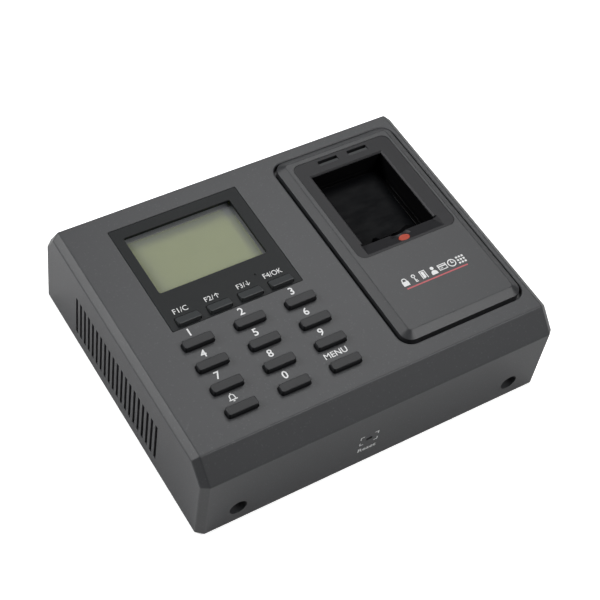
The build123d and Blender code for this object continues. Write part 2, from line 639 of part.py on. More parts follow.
# ---- Sensor unit ----
def make_sensor_panel():
    """The raised panel, the dark insert with the finger opening, and their windows."""
    wall_top = FACE_Z + BEZEL_WALL
    panel = tapered(BEZEL_X, BEZEL_Y, (wall_top, BEZEL_TOP), BEZEL_CORNER, BEZEL_CHAMFER)
    panel += slab(BEZEL_X, BEZEL_Y, (POCKET_FLOOR + TOUCH, wall_top), BEZEL_CORNER)
    panel = fillet(panel.edges().group_by(Axis.Z)[-1], BEZEL_ROUND)
    hollow_x, hollow_y = grow(BEZEL_X, -BEZEL_THICK), grow(BEZEL_Y, -BEZEL_THICK)
    panel -= slab(hollow_x, hollow_y, (0, FACE_Z - BEZEL_SKIRT), BEZEL_CORNER - BEZEL_THICK)
    roof_x, roof_y = grow(hollow_x, -BEZEL_CHAMFER), grow(hollow_y, -BEZEL_CHAMFER)
    panel -= slab(roof_x, roof_y, (0, BEZEL_TOP - BEZEL_THICK), 1.0)
    seat_x, seat_y = grow(INSERT_X, PLAY / 2), grow(INSERT_Y, PLAY / 2)
    panel -= slab(seat_x, seat_y, (0, BEZEL_TOP + 1), INSERT_CORNER)
    node("sensor_panel", panel)

    insert = slab(INSERT_X, INSERT_Y, (PLATE_LOW, INSERT_TOP), INSERT_CORNER)
    under_face = INSERT_TOP - 0.5
    lip_block_z = (PLATE_LOW - LIP_BLOCK_DEEP, under_face)
    insert += slab(grow(WELL_X, LIP_BLOCK_SIDE), (LIP_Y - 0.6, WELL_Y[0]), lip_block_z)
    tab_y = (INSERT_Y[1] - 1 - TAB_WIDE, INSERT_Y[1] - 1)
    insert += slab(grow(INSERT_X, -INSERT_CORNER), tab_y, (PLATE_LOW - TAB_DEEP, PLATE_LOW + 0.1))
    insert -= slab(WELL_X, WELL_Y, (0, BEZEL_TOP))
    liner = WELL_WALL + PLAY
    insert -= slab(grow(WELL_X, liner), (WELL_Y[0], WELL_Y[1] + liner), (0, INSERT_TOP - WELL_RIM))
    mouth_x, mouth_y = grow(WELL_X, WELL_TOP_BEVEL), grow(WELL_Y, WELL_TOP_BEVEL)
    mouth = [
        block_at(mouth_x, mouth_y, INSERT_TOP + 0.01),
        block_at(WELL_X, WELL_Y, INSERT_TOP - WELL_TOP_BEVEL),
    ]
    insert -= loft(mouth, ruled=True)
    lip = [
        block_at(grow(WELL_X, LIP_SIDE), (LIP_Y, WELL_Y[0]), INSERT_TOP + 0.01),
        block_at(WELL_X, (WELL_Y[0] - 0.1, WELL_Y[0]), INSERT_TOP - LIP_DROP),
    ]
    insert -= loft(lip, ruled=True)
    for x in INDICATOR_X:
        hole = slab(around(x, INDICATOR_LENGTH), around(INDICATOR_Y, INDICATOR_WIDTH),
                    (0, BEZEL_TOP), INDICATOR_CORNER)
        insert -= hole
    # the finger cradle runs down from the lip into the well
    cradle_z = INSERT_TOP - LIP_DROP + CRADLE_LIFT
    insert -= rod(
        (WELL_CENTRE_X, WELL_Y[0] - LIP_CRADLE_REACH, cradle_z),
        (WELL_CENTRE_X, WELL_Y[0] + 1, cradle_z),
        LIP_CRADLE_R,
    )
    insert -= spot_shape(0.0, (0, BEZEL_TOP))
    node("sensor_insert", insert)

    spot_low = PLATE_LOW - SPOT_DEEP
    spot = spot_shape(TOUCH, (spot_low, BEZEL_TOP))
    spot &= slab(INSERT_X, INSERT_Y, (spot_low, lip_height(SPOT_Y) + SPOT_PROUD))
    node("finger_light", spot)
    lenses = []
    for x in INDICATOR_X:
        lens_x = around(x, INDICATOR_LENGTH - 2 * TOUCH)
        lens_front = INDICATOR_Y - INDICATOR_WIDTH / 2 + TOUCH
        lens_y = (lens_front, lens_front + INDICATOR_LENS_WIDTH)
        lens_z = (PLATE_LOW - INDICATOR_LENS_DEEP, INSERT_TOP - INDICATOR_LENS_SUNK)
        lenses.append(slab(lens_x, lens_y, lens_z, INDICATOR_CORNER - TOUCH))
    node("indicator_lenses", Compound(children=lenses))


def lip_height(y):
    """Height of the sloping finger lip at a place along Y."""
    share = (y - LIP_Y) / (WELL_Y[0] - LIP_Y)
    return INSERT_TOP - LIP_DROP * share


def spot_shape(less, z):
    """The oval finger light's outline, smaller all round by less, between two heights."""
    outline = Ellipse(SPOT_LENGTH / 2 - less, SPOT_WIDTH / 2 - less)
    return Pos(WELL_CENTRE_X, SPOT_Y, z[0]) * extrude(outline, z[1] - z[0])


def make_sensor_module():
    """The optical unit in the well: liner with its guide, prism, chassis, camera and its board."""
    outer_x, outer_y = grow(WELL_X, WELL_WALL), grow(WELL_Y, WELL_WALL)
    front, back = WELL_Y[0] + PLAY, WELL_Y[0] + PLAY + GUIDE_REACH
    floor_z = (WELL_FLOOR_Z + TOUCH, WELL_FLOOR_Z + LINER_FLOOR)
    liner = slab(outer_x, outer_y, (floor_z[0], INSERT_TOP - WELL_RIM - TOUCH))
    liner -= slab(WELL_X, WELL_Y, (floor_z[1], BEZEL_TOP))
    guide = slab(around(WELL_CENTRE_X, 2 * GUIDE_HALF), (outer_y[0], back), (floor_z[1], GUIDE_TOP_Z))
    guide -= rod(
        (WELL_CENTRE_X, WELL_Y[0] - 1, GUIDE_TOP_Z + CRADLE_LIFT),
        (WELL_CENTRE_X, WELL_Y[0] + GUIDE_REACH + 2, GUIDE_TOP_Z + CRADLE_LIFT - CRADLE_FALL),
        CRADLE_R,
    )
    slope = [
        (front + GUIDE_CREST, GUIDE_TOP_Z + 0.1),
        (back + 0.1, GUIDE_TOP_Z - GUIDE_FALL),
        (back + 0.1, GUIDE_TOP_Z + 0.1),
    ]
    guide -= bar(slope, WELL_CENTRE_X, 2 * GUIDE_HALF + 2)
    lip_low = PLATE_LOW - LIP_BLOCK_DEEP - TOUCH
    guide += liner
    guide -= slab(grow(outer_x, 1), (outer_y[0] - 1, front), (lip_low, BEZEL_TOP))
    surround_y = (PRISM_Y[0] - SURROUND_WIDE + 0.4, PRISM_Y[1] + SURROUND_WIDE - 0.4)
    surround_z = (floor_z[0], WELL_FLOOR_Z + SURROUND_TALL)
    guide += slab(grow(PRISM_X, SURROUND_WIDE), surround_y, surround_z, 1.5)
    guide -= slab(grow(PRISM_X, PLAY), grow(PRISM_Y, PLAY), (0, BEZEL_TOP))
    node("finger_guide", guide)

    near, far = PRISM_Y
    prism_low = PRISM_TOP_Z - PRISM_TALL
    prism_outline = [
        (near, PRISM_TOP_Z - PRISM_TILT),
        (far, PRISM_TOP_Z),
        (far, prism_low + PRISM_TALL - PRISM_BACK_FACE),
        (far - PRISM_HEEL, prism_low),
        (near, PRISM_TOP_Z - PRISM_TILT - 2.8),
    ]
    node("prism", bar(prism_outline, WELL_CENTRE_X, PRISM_X[1] - PRISM_X[0]))

    seat_z = (WELL_FLOOR_Z - 1.2, FACE_Z)
    well_hole = WELL_WALL + PLAY
    chassis = slab(CHASSIS_X, CHASSIS_Y, (MODULE_FLOOR_Z, MODULE_FLOOR_Z + CHASSIS_TALL), 1.0)
    chassis -= slab(grow(WELL_X, well_hole), grow(WELL_Y, well_hole), seat_z)
    prism_hole_z = (MODULE_FLOOR_Z + CHASSIS_FLOOR, FACE_Z)
    chassis -= slab(grow(PRISM_X, PLAY), grow(PRISM_Y, PLAY), prism_hole_z)
    camera_y = PRISM_Y[0] + CAMERA_IN
    camera_low = (WELL_CENTRE_X, camera_y, MODULE_FLOOR_Z + TOUCH)
    camera_top = (WELL_CENTRE_X, camera_y, MODULE_FLOOR_Z + CAMERA_TALL)
    chassis -= rod((WELL_CENTRE_X, camera_y, 0), camera_top, CAMERA_R + PLAY)
    node("camera_lens", rod(camera_low, camera_top, CAMERA_R))
    board_z = (MODULE_FLOOR_Z - TOUCH - PCB_THICK, MODULE_FLOOR_Z - TOUCH)
    board = slab(CHASSIS_X, CHASSIS_Y, board_z, 1.0)
    screws = []
    for x in grow(CHASSIS_X, -MODULE_SCREW_IN[0]):
        for y in grow(CHASSIS_Y, -MODULE_SCREW_IN[1]):
            board -= rod((x, y, 0), (x, y, FACE_Z), MODULE_SCREW_R + PLAY)
            chassis -= rod((x, y, 0), (x, y, MODULE_FLOOR_Z + MODULE_SCREW_LONG), MODULE_SCREW_R)
            screws.append(screw(
                (x, y, board_z[0]), (0, 0, 1), MODULE_SCREW_HEAD_R, MODULE_SCREW_HEAD,
                MODULE_SCREW_R - TOUCH / 2, MODULE_SCREW_LONG,
            ))
    node("sensor_chassis", chassis)
    node("sensor_board", board)
    node("sensor_board_screws", Compound(children=screws))


# ---- Rear cover, wall plate and their screws ----
def make_rear():
    """The rear cover, the steel wall plate and the screws that hold them."""
    everywhere = around(0, 2 * WIDTH)
    cover = housing_block(RIM_INSET, TOUCH) & slab(everywhere, everywhere, (0, RIM_THICK))
    cover += housing_block(WALL + PLAY, TOUCH) & slab(everywhere, everywhere, (0, COVER_WALL_TOP))
    core = housing_block(WALL + PLAY + COVER_WALL_THICK, COVER_FLOOR_TOP)
    cover -= core & slab(everywhere, everywhere, (0, COVER_WALL_TOP + 1))
    recess_x = around(0, WIDTH - 2 * (RIM_INSET + RIM_WIDE))
    recess_y = around(0, HEIGHT - 2 * (RIM_INSET + RIM_WIDE))
    cover -= slab(recess_x, recess_y, (-1, COVER_FLOOR_Z), 2.0)
    cover -= slab(around(0, 2 * CABLE_X), CABLE_Y, (0, COVER_FLOOR_TOP + 1), CABLE_CORNER)
    tab_x = (PLATE_X - FLANGE_TAB - PLAY, PLATE_X + PLAY)
    for side in (-1, 1):
        slot_x = tuple(sorted((side * tab_x[0], side * tab_x[1])))
        slot_y = (FLANGE_Y - PLATE_THICK - PLAY, FLANGE_Y + PLAY)
        cover -= slab(slot_x, slot_y, (0, COVER_FLOOR_TOP + 1))
        hook_x = grow(around(side * HOOK_X, HOOK_WIDE), PLAY)
        hook_y = grow((PLATE_BACK_Y - PLATE_THICK, PLATE_BACK_Y), PLAY)
        cover -= slab(hook_x, hook_y, (0, COVER_FLOOR_TOP + 1))
        for y in MAIN_POST_Y:
            x = side * MAIN_POST_X
            cover += rod((x, y, COVER_FLOOR_TOP - 1), (x, y, MAIN_BOARD_Z - TOUCH), POST_R)
            cover -= rod((x, y, MAIN_BOARD_Z - POST_PILOT_DEEP), (x, y, MAIN_BOARD_Z), BOARD_SCREW_R)
        for y in (-BOSS_Y, BOSS_Y):
            x = side * BOSS_X
            cover -= rod((x, y, -1), (x, y, COVER_SCREW_SEAT), COVER_SCREW_HEAD_R + PLAY)
            cover -= rod((x, y, 0), (x, y, COVER_FLOOR_TOP + 1), COVER_SCREW_R + PLAY)
    cover -= rod((TAMPER_X, TAMPER_Y, 0), (TAMPER_X, TAMPER_Y, COVER_FLOOR_TOP + 1), TAMPER_PIN_R + PLAY)
    node("rear_cover", cover)
    screws = [
        screw((x, y, COVER_SCREW_SEAT - TOUCH / 2), (0, 0, 1), COVER_SCREW_HEAD_R, COVER_SCREW_HEAD,
              COVER_SCREW_R - TOUCH / 2, COVER_SCREW_LONG)
        for x in (-BOSS_X, BOSS_X)
        for y in (-BOSS_Y, BOSS_Y)
    ]
    node("cover_screws", Compound(children=screws))

    plate = slab((-PLATE_X, PLATE_X), (FLANGE_Y - PLATE_THICK, PLATE_BACK_Y), (0, PLATE_THICK), 1.0)
    hole_x, hole_y = around(0, 2 * (CABLE_X + PLATE_CABLE_STEP)), grow(CABLE_Y, PLATE_CABLE_STEP)
    plate -= slab(hole_x, hole_y, (-1, PLATE_THICK + 1), CABLE_CORNER + 1)
    for side in (-1, 1):
        tab = tuple(sorted((side * (PLATE_X - FLANGE_TAB), side * PLATE_X)))
        plate += slab(tab, (FLANGE_Y - PLATE_THICK, FLANGE_Y), (0, FLANGE_TALL))
        plate -= rod((side * LOCK_X, FLANGE_Y - 5, LOCK_Z), (side * LOCK_X, FLANGE_Y + 5, LOCK_Z),
                     LOCK_SCREW_R + TOUCH / 2)
        hook_x = around(side * HOOK_X, HOOK_WIDE)
        plate += slab(hook_x, (PLATE_BACK_Y - PLATE_THICK, PLATE_BACK_Y), (0, HOOK_TALL))
        for y in (-PLATE_HOLE_Y, PLATE_HOLE_Y):
            x = side * PLATE_HOLE_X
            plate -= rod((x, y, -1), (x, y, PLATE_THICK + 1), PLATE_HOLE_R)
    node("wall_plate", plate)
    seat_y = -HEIGHT / 2 + WALL / 2 + LOCK_TUBE_DEEP - LOCK_SEAT - TOUCH / 2
    locks = [
        screw((x, seat_y, LOCK_Z), (0, 1, 0), LOCK_HEAD_R, LOCK_HEAD, LOCK_SCREW_R, LOCK_LONG)
        for x in (-LOCK_X, LOCK_X)
    ]
    node("locking_screws", Compound(children=locks))


# ---- Electronics ----
def make_electronics():
    """The main board and what is soldered or plugged to it."""
    board_z = (MAIN_BOARD_Z, MAIN_BOARD_TOP)
    board = slab((-MAIN_BOARD_X, MAIN_BOARD_X), MAIN_BOARD_Y, board_z, 1.5)
    tongue_y = (RESET_FACE_Y + RESET_BUTTON_OUT - 0.6, MAIN_BOARD_Y[0] + 2)
    board += slab(around(RESET_X, TONGUE_WIDE), tongue_y, board_z)
    screws = []
    for x in (-MAIN_POST_X, MAIN_POST_X):
        for y in MAIN_POST_Y:
            board -= rod((x, y, 0), (x, y, FACE_Z), BOARD_SCREW_R + PLAY)
            screws.append(board_screw((x, y, MAIN_BOARD_TOP), (0, 0, -1)))
    node("main_board", board)
    BOARD_SCREWS.extend(screws)

    under = MAIN_BOARD_Z - TOUCH
    over = MAIN_BOARD_TOP + TOUCH
    chip_x, chip_y = (around(at, PROCESSOR_SIDE) for at in PROCESSOR_AT)
    node("processor", slab(chip_x, chip_y, (over, over + PROCESSOR_TALL), 0.4))
    memory_y, memory_z = around(MEMORY_Y, MEMORY_SIZE[1]), (over, over + MEMORY_TALL)
    chips = [slab(around(x, MEMORY_SIZE[0]), memory_y, memory_z) for x in MEMORY_X]
    node("memory_chips", Compound(children=chips))
    relay_x, relay_y = (around(at, size) for at, size in zip(RELAY_AT, RELAY_SIZE))
    node("relay", slab(relay_x, relay_y, (under - RELAY_TALL, under), 0.5))
    node("backup_battery", rod((*BATTERY_AT, under - BATTERY_TALL), (*BATTERY_AT, under), BATTERY_R))
    caps = [rod((x, CAPACITOR_Y, under - CAPACITOR_TALL), (x, CAPACITOR_Y, under), CAPACITOR_R)
            for x in CAPACITOR_X]
    node("capacitors", Compound(children=caps))

    for name, (y, ways) in TERMINALS.items():
        block_x = around(TERMINAL_X, ways * TERMINAL_PITCH + 2 * TERMINAL_END)
        block = slab(block_x, around(y, TERMINAL_WIDE), (TERMINAL_LOW_Z, under))
        entry_y, entry_z = around(y + WIRE_ENTRY_OFF, WIRE_ENTRY[1]), (0, TERMINAL_LOW_Z + WIRE_ENTRY_DEEP)
        screw_y, screw_z = y + CLAMP_SCREW_OFF, TERMINAL_LOW_Z + CLAMP_SCREW_DEEP
        for i in range(ways):
            x = TERMINAL_X + TERMINAL_PITCH * (i - (ways - 1) / 2)
            block -= slab(around(x, WIRE_ENTRY[0]), entry_y, entry_z)
            block -= rod((x, screw_y, 0), (x, screw_y, screw_z), CLAMP_SCREW_R)
        node(name, block)
    socket_x, socket_y = (around(at, size) for at, size in zip(SOCKET_AT, SOCKET_SIZE))
    port_x, port_y = (around(at, size) for at, size in zip(SOCKET_AT, PORT_SIZE))
    jack = slab(socket_x, socket_y, (SOCKET_LOW_Z, under), 0.4)
    jack -= slab(port_x, port_y, (0, PORT_TOP_Z))
    node("network_socket", jack)

    # reset switch on the board's tongue
    body_face = RESET_FACE_Y + RESET_BUTTON_OUT
    body_y = (body_face, body_face + RESET_BODY_DEEP)
    switch = slab(around(RESET_X, RESET_BODY), body_y, (RESET_Z - RESET_BODY / 2, under))
    bore_end = body_face + RESET_BORE
    switch -= rod((RESET_X, body_y[0] - 1, RESET_Z), (RESET_X, bore_end, RESET_Z), RESET_BUTTON_R + SLIDE)
    node("reset_switch", switch)
    button_end = (RESET_X, bore_end - RESET_TRAVEL - TOUCH, RESET_Z)
    node("reset_button", rod((RESET_X, RESET_FACE_Y, RESET_Z), button_end, RESET_BUTTON_R))

    # tamper switch: its pin reaches the wall plate
    tamper_x, tamper_y = around(TAMPER_X, TAMPER_BODY), around(TAMPER_Y, TAMPER_BODY)
    tamper = slab(tamper_x, tamper_y, (TAMPER_LOW_Z, under), 0.5)
    bore_top = TAMPER_LOW_Z + TAMPER_BORE
    tamper -= rod((TAMPER_X, TAMPER_Y, 0), (TAMPER_X, TAMPER_Y, bore_top), TAMPER_PIN_R + SLIDE)
    node("tamper_switch", tamper)
    pin_top = bore_top - TAMPER_TRAVEL - TOUCH
    pin = rod((TAMPER_X, TAMPER_Y, PLATE_THICK + TOUCH), (TAMPER_X, TAMPER_Y, pin_top), TAMPER_PIN_R)
    node("tamper_pin", pin)

    # speaker behind the slots
    def disc(near_x, far_x, radius):
        """A disc on the speaker's axis between two distances from its face."""
        near = (SPEAKER_FACE_X + near_x, SPEAKER_Y, SPEAKER_Z)
        far = (SPEAKER_FACE_X + far_x, SPEAKER_Y, SPEAKER_Z)
        return rod(near, far, radius)

    bowl_r = SPEAKER_R - SPEAKER_RIM
    node("speaker", disc(0, SPEAKER_DEEP, SPEAKER_R) - disc(-1, SPEAKER_BOWL, bowl_r))
    node("speaker_cone", disc(CONE_BACK - CONE_THICK, CONE_BACK, bowl_r - TOUCH))
    wall_in = WALL + GASKET_GAP - WIDTH / 2 - SPEAKER_FACE_X
    gasket = disc(wall_in, -TOUCH, SPEAKER_R) - disc(wall_in - 1, 0, SPEAKER_R - GASKET_WIDE)
    node("speaker_gasket", gasket)


def make_ribbons():
    """Flat cables between the boards."""
    thick = RIBBON_THICK
    low = MAIN_BOARD_TOP + TOUCH
    spans = {
        "display_ribbon": (DISPLAY_RIBBON, LCD_BOARD_TOP - PCB_THICK - TOUCH),
        "keypad_ribbon": (KEYPAD_RIBBON, KEYPAD_BOARD_TOP - PCB_THICK - TOUCH),
        "sensor_ribbon": (SENSOR_RIBBON, MODULE_FLOOR_Z - PCB_THICK - 2 * TOUCH),
    }
    for name, ((x, wide, y, run), top) in spans.items():
        outline = [
            (y - run, low),
            (y + thick, low),
            (y + thick, top - thick),
            (y + run, top - thick),
            (y + run, top),
            (y, top),
            (y, low + thick),
            (y - run, low + thick),
        ]
        node(name, bar(outline, x, wide))


def main():
    """Builds every piece and writes one STEP file for each."""
    make_front_housing()
    make_display()
    make_keys()
    make_keypad()
    make_sensor_panel()
    make_sensor_module()
    make_rear()
    make_electronics()
    make_ribbons()
    node("board_screws", Compound(children=BOARD_SCREWS))
    os.makedirs("parts", exist_ok=True)
    for name, shape in NODES.items():
        export_step(shape, f"parts/{name}.step")
    print(len(NODES), "pieces")


main()
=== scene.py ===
"""Finishes, prints and lighting of a wall-mounted fingerprint access terminal.

Metres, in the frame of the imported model: +Z out of the wall through the face, +Y up the wall, +X to
the user's right.
"""

import logging
import math
from dataclasses import dataclass
from enum import Enum
from typing import Any

import bmesh
import bpy
from mathutils import Matrix, Vector

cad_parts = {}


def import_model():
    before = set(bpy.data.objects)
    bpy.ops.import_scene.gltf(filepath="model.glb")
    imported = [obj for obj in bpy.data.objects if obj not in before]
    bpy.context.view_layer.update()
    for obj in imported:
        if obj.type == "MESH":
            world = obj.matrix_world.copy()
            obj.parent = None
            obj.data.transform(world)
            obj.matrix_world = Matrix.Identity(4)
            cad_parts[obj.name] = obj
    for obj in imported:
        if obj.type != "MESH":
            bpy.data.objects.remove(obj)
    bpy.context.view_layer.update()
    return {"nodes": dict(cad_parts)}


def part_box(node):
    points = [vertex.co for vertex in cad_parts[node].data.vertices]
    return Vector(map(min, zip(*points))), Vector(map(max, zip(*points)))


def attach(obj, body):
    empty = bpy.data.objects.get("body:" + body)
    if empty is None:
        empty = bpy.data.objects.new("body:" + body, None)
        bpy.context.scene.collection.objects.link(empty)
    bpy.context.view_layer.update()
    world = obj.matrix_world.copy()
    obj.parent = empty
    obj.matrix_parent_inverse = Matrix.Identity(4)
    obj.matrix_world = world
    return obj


log = logging.getLogger("terminal")
MM = 0.001
PRINT_LIFT = 0.03 * MM  # a printed film's height over the plastic
BROKEN_EDGE = 0.12  # an edge's rounding, as a share of the thickness of a block or the radius of a rod
ARC_STEPS = 14  # sides of a printed arc
HEAD_STEPS = 12  # sides of half a screw head
LETTER_HALF_DEEP = 0.004  # half the depth of a letter before it is pressed to a film, in letter sizes

Point = tuple[float, float]
Colour = tuple[float, float, float, float]


# ---------------------------------------------------------------- small helpers
def linear(hex_code: str) -> Colour:
    """Turns an sRGB hex colour into linear light.

    Args:
        hex_code: six hex digits.

    Returns:
        Red, green, blue and an alpha of one.
    """
    parts = [int(hex_code[i : i + 2], 16) / 255 for i in (0, 2, 4)]
    red, green, blue = (c / 12.92 if c <= 0.04045 else ((c + 0.055) / 1.055) ** 2.4 for c in parts)
    return (red, green, blue, 1.0)


def add_node(tree: Any, kind: str, settings: dict | None = None, links: dict | None = None) -> Any:
    """Adds a shader node with its settings and links.

    Args:
        tree: the node tree that gets the node.
        kind: the node's type, such as "ShaderNodeMath".
        settings: values by property name, or by input name or number.
        links: output sockets by the name or number of the input that they feed.

    Returns:
        The new node.
    """
    node = tree.nodes.new(kind)
    for key, value in (settings or {}).items():
        if isinstance(key, int) or key in node.inputs:
            node.inputs[key].default_value = value
        else:
            setattr(node, key, value)
    for key, output in (links or {}).items():
        tree.links.new(node.inputs[key], output)
    return node


def per_metre(size_mm: float) -> float:
    """A texture's scale for a pattern that repeats every size_mm."""
    return 1 / (size_mm * MM)


# ---------------------------------------------------------------- finishes
@dataclass(frozen=True)
class Finish:
    """What all finishes share: a name, and a material made once."""

    name: str

    def material(self) -> Any:
        """Makes the finish's material, or finds the one already made.

        Returns:
            The Blender material.
        """
        found = bpy.data.materials.get(self.name)
        if found is not None:
            return found
        made = bpy.data.materials.new(self.name)
        made.use_nodes = True
        tree = made.node_tree
        tree.nodes.clear()
        surface = self.surface(tree)
        add_node(tree, "ShaderNodeOutputMaterial", links={"Surface": surface})
        return made

    def surface(self, tree: Any) -> Any:
        """Builds the finish's nodes.

        Args:
            tree: the material's node tree.

        Returns:
            The shader output socket.
        """
        raise NotImplementedError

    @staticmethod
    def place(tree: Any) -> Any:
        """The output with the point's place on the piece, in metres."""
        return add_node(tree, "ShaderNodeTexCoord").outputs["Object"]


@dataclass(frozen=True)
class MouldedPlastic(Finish):
    """Injection-moulded plastic from a spark-eroded tool: a fine even grain with faint flecks."""

    colour: str
    cloud: str  # the second tone of its slow colour drift
    grain_mm: float = 0.35
    grain_deep_mm: float = 0.012
    fleck: str = "9A9CA0"
    fleck_mm: float = 0.55
    fleck_share: float = 0.0
    roughness: float = 0.5
    roughness_swing: float = 0.12
    ior: float = 1.53
    edge_mm: float = 0.15
    sheen: float = 0.0
    coat: float = 0.0
    specular: float = 0.5

    def surface(self, tree: Any) -> Any:
        """Builds grain, drift, flecks and softened edges.

        Args:
            tree: the material's node tree.

        Returns:
            The shader output socket.
        """
        place = self.place(tree)
        drift = add_node(
            tree, "ShaderNodeTexNoise", {"Scale": per_metre(28), "Detail": 3.0}, {"Vector": place}
        )
        grain = add_node(
            tree,
            "ShaderNodeTexNoise",
            {"Scale": per_metre(self.grain_mm), "Detail": 2.0, "Roughness": 0.6},
            {"Vector": place},
        )
        tone = add_node(
            tree,
            "ShaderNodeMix",
            {"data_type": "RGBA", 6: linear(self.colour), 7: linear(self.cloud)},
            {0: drift.outputs[0]},
        )
        colour = tone.outputs[2]
        if self.fleck_share > 0:
            cells = add_node(
                tree, "ShaderNodeTexVoronoi", {"Scale": per_metre(self.fleck_mm)}, {"Vector": place}
            )
            draw = add_node(tree, "ShaderNodeSeparateColor", links={0: cells.outputs["Color"]})
            chosen = add_node(
                tree,
                "ShaderNodeMapRange",
                {"From Min": 1 - self.fleck_share, "From Max": 1.0, "To Min": 0.0, "To Max": 0.75},
                {"Value": draw.outputs[0]},
            )
            flecked = add_node(
                tree,
                "ShaderNodeMix",
                {"data_type": "RGBA", 7: linear(self.fleck)},
                {0: chosen.outputs[0], 6: colour},
            )
            colour = flecked.outputs[2]
        gloss = add_node(
            tree,
            "ShaderNodeMapRange",
            {
                "From Min": 0.3,
                "From Max": 0.7,
                "To Min": self.roughness - self.roughness_swing / 2,
                "To Max": self.roughness + self.roughness_swing / 2,
            },
            {"Value": grain.outputs[0]},
        )
        soft = add_node(tree, "ShaderNodeBevel", {"Radius": self.edge_mm * MM, "samples": 4})
        bump = add_node(
            tree,
            "ShaderNodeBump",
            {"Strength": 1.0, "Distance": self.grain_deep_mm * MM},
            {"Height": grain.outputs[0], "Normal": soft.outputs[0]},
        )
        shader = add_node(
            tree,
            "ShaderNodeBsdfPrincipled",
            {
                "IOR": self.ior,
                "Specular IOR Level": self.specular,
                "Sheen Weight": self.sheen,
                "Coat Weight": self.coat,
                "Coat Roughness": 0.12,
            },
            {"Base Color": colour, "Roughness": gloss.outputs[0], "Normal": bump.outputs[0]},
        )
        return shader.outputs[0]


@dataclass(frozen=True)
class PolishedPlastic(Finish):
    """Polished or clear plastic and glass, with a film of faint wipe marks."""

    colour: str
    roughness: float = 0.08
    transmission: float = 0.0
    alpha: float = 1.0
    ior: float = 1.49
    smear_mm: float = 9.0
    glow: float = 0.0
    specular: float = 0.5

    def surface(self, tree: Any) -> Any:
        """Builds a clear gloss whose roughness drifts with wipe marks.

        Args:
            tree: the material's node tree.

        Returns:
            The shader output socket.
        """
        place = self.place(tree)
        stretched = add_node(tree, "ShaderNodeMapping", {"Scale": (1.0, 3.0, 1.0)}, {"Vector": place})
        smear = add_node(
            tree,
            "ShaderNodeTexNoise",
            {"Scale": per_metre(self.smear_mm), "Detail": 4.0},
            {"Vector": stretched.outputs[0]},
        )
        gloss = add_node(
            tree,
            "ShaderNodeMapRange",
            {"From Min": 0.3, "From Max": 0.7, "To Min": self.roughness, "To Max": self.roughness * 1.8},
            {"Value": smear.outputs[0]},
        )
        tint = add_node(
            tree,
            "ShaderNodeMix",
            {"data_type": "RGBA", "blend_type": "MULTIPLY", 0: 0.15, 6: linear(self.colour)},
            {7: smear.outputs[0]},
        )
        shader = add_node(
            tree,
            "ShaderNodeBsdfPrincipled",
            {
                "IOR": self.ior,
                "Transmission Weight": self.transmission,
                "Specular IOR Level": self.specular,
                "Alpha": self.alpha,
                "Emission Color": linear(self.colour),
                "Emission Strength": self.glow,
            },
            {"Base Color": tint.outputs[2], "Roughness": gloss.outputs[0]},
        )
        return shader.outputs[0]


@dataclass(frozen=True)
class LiquidCrystal(Finish):
    """A reflective twisted-nematic cell: an olive polariser over a grid of unlit dots."""

    colour: str
    dot_tone: str
    dot_mm: float = 0.84  # twice the real dot pitch, which would not show
    roughness: float = 0.34

    def surface(self, tree: Any) -> Any:
        """Builds the polariser, its dot grid and a slow drift of tone.

        Args:
            tree: the material's node tree.

        Returns:
            The shader output socket.
        """
        place = self.place(tree)
        grid = add_node(
            tree,
            "ShaderNodeTexBrick",
            {
                "offset": 0.0,
                "Scale": per_metre(self.dot_mm),
                "Mortar Size": 0.09,
                "Mortar Smooth": 0.6,
                "Brick Width": 1.0,
                "Row Height": 1.0,
                "Color1": linear(self.dot_tone),
                "Color2": linear(self.dot_tone),
                "Mortar": linear(self.colour),
            },
            {"Vector": place},
        )
        drift = add_node(
            tree, "ShaderNodeTexNoise", {"Scale": per_metre(22), "Detail": 2.0}, {"Vector": place}
        )
        tone = add_node(
            tree,
            "ShaderNodeMix",
            {"data_type": "RGBA", 6: linear(self.colour)},
            {0: drift.outputs[0], 7: grid.outputs["Color"]},
        )
        shader = add_node(
            tree,
            "ShaderNodeBsdfPrincipled",
            {"Roughness": self.roughness, "IOR": 1.5, "Specular IOR Level": 0.15},
            {"Base Color": tone.outputs[2]},
        )
        return shader.outputs[0]


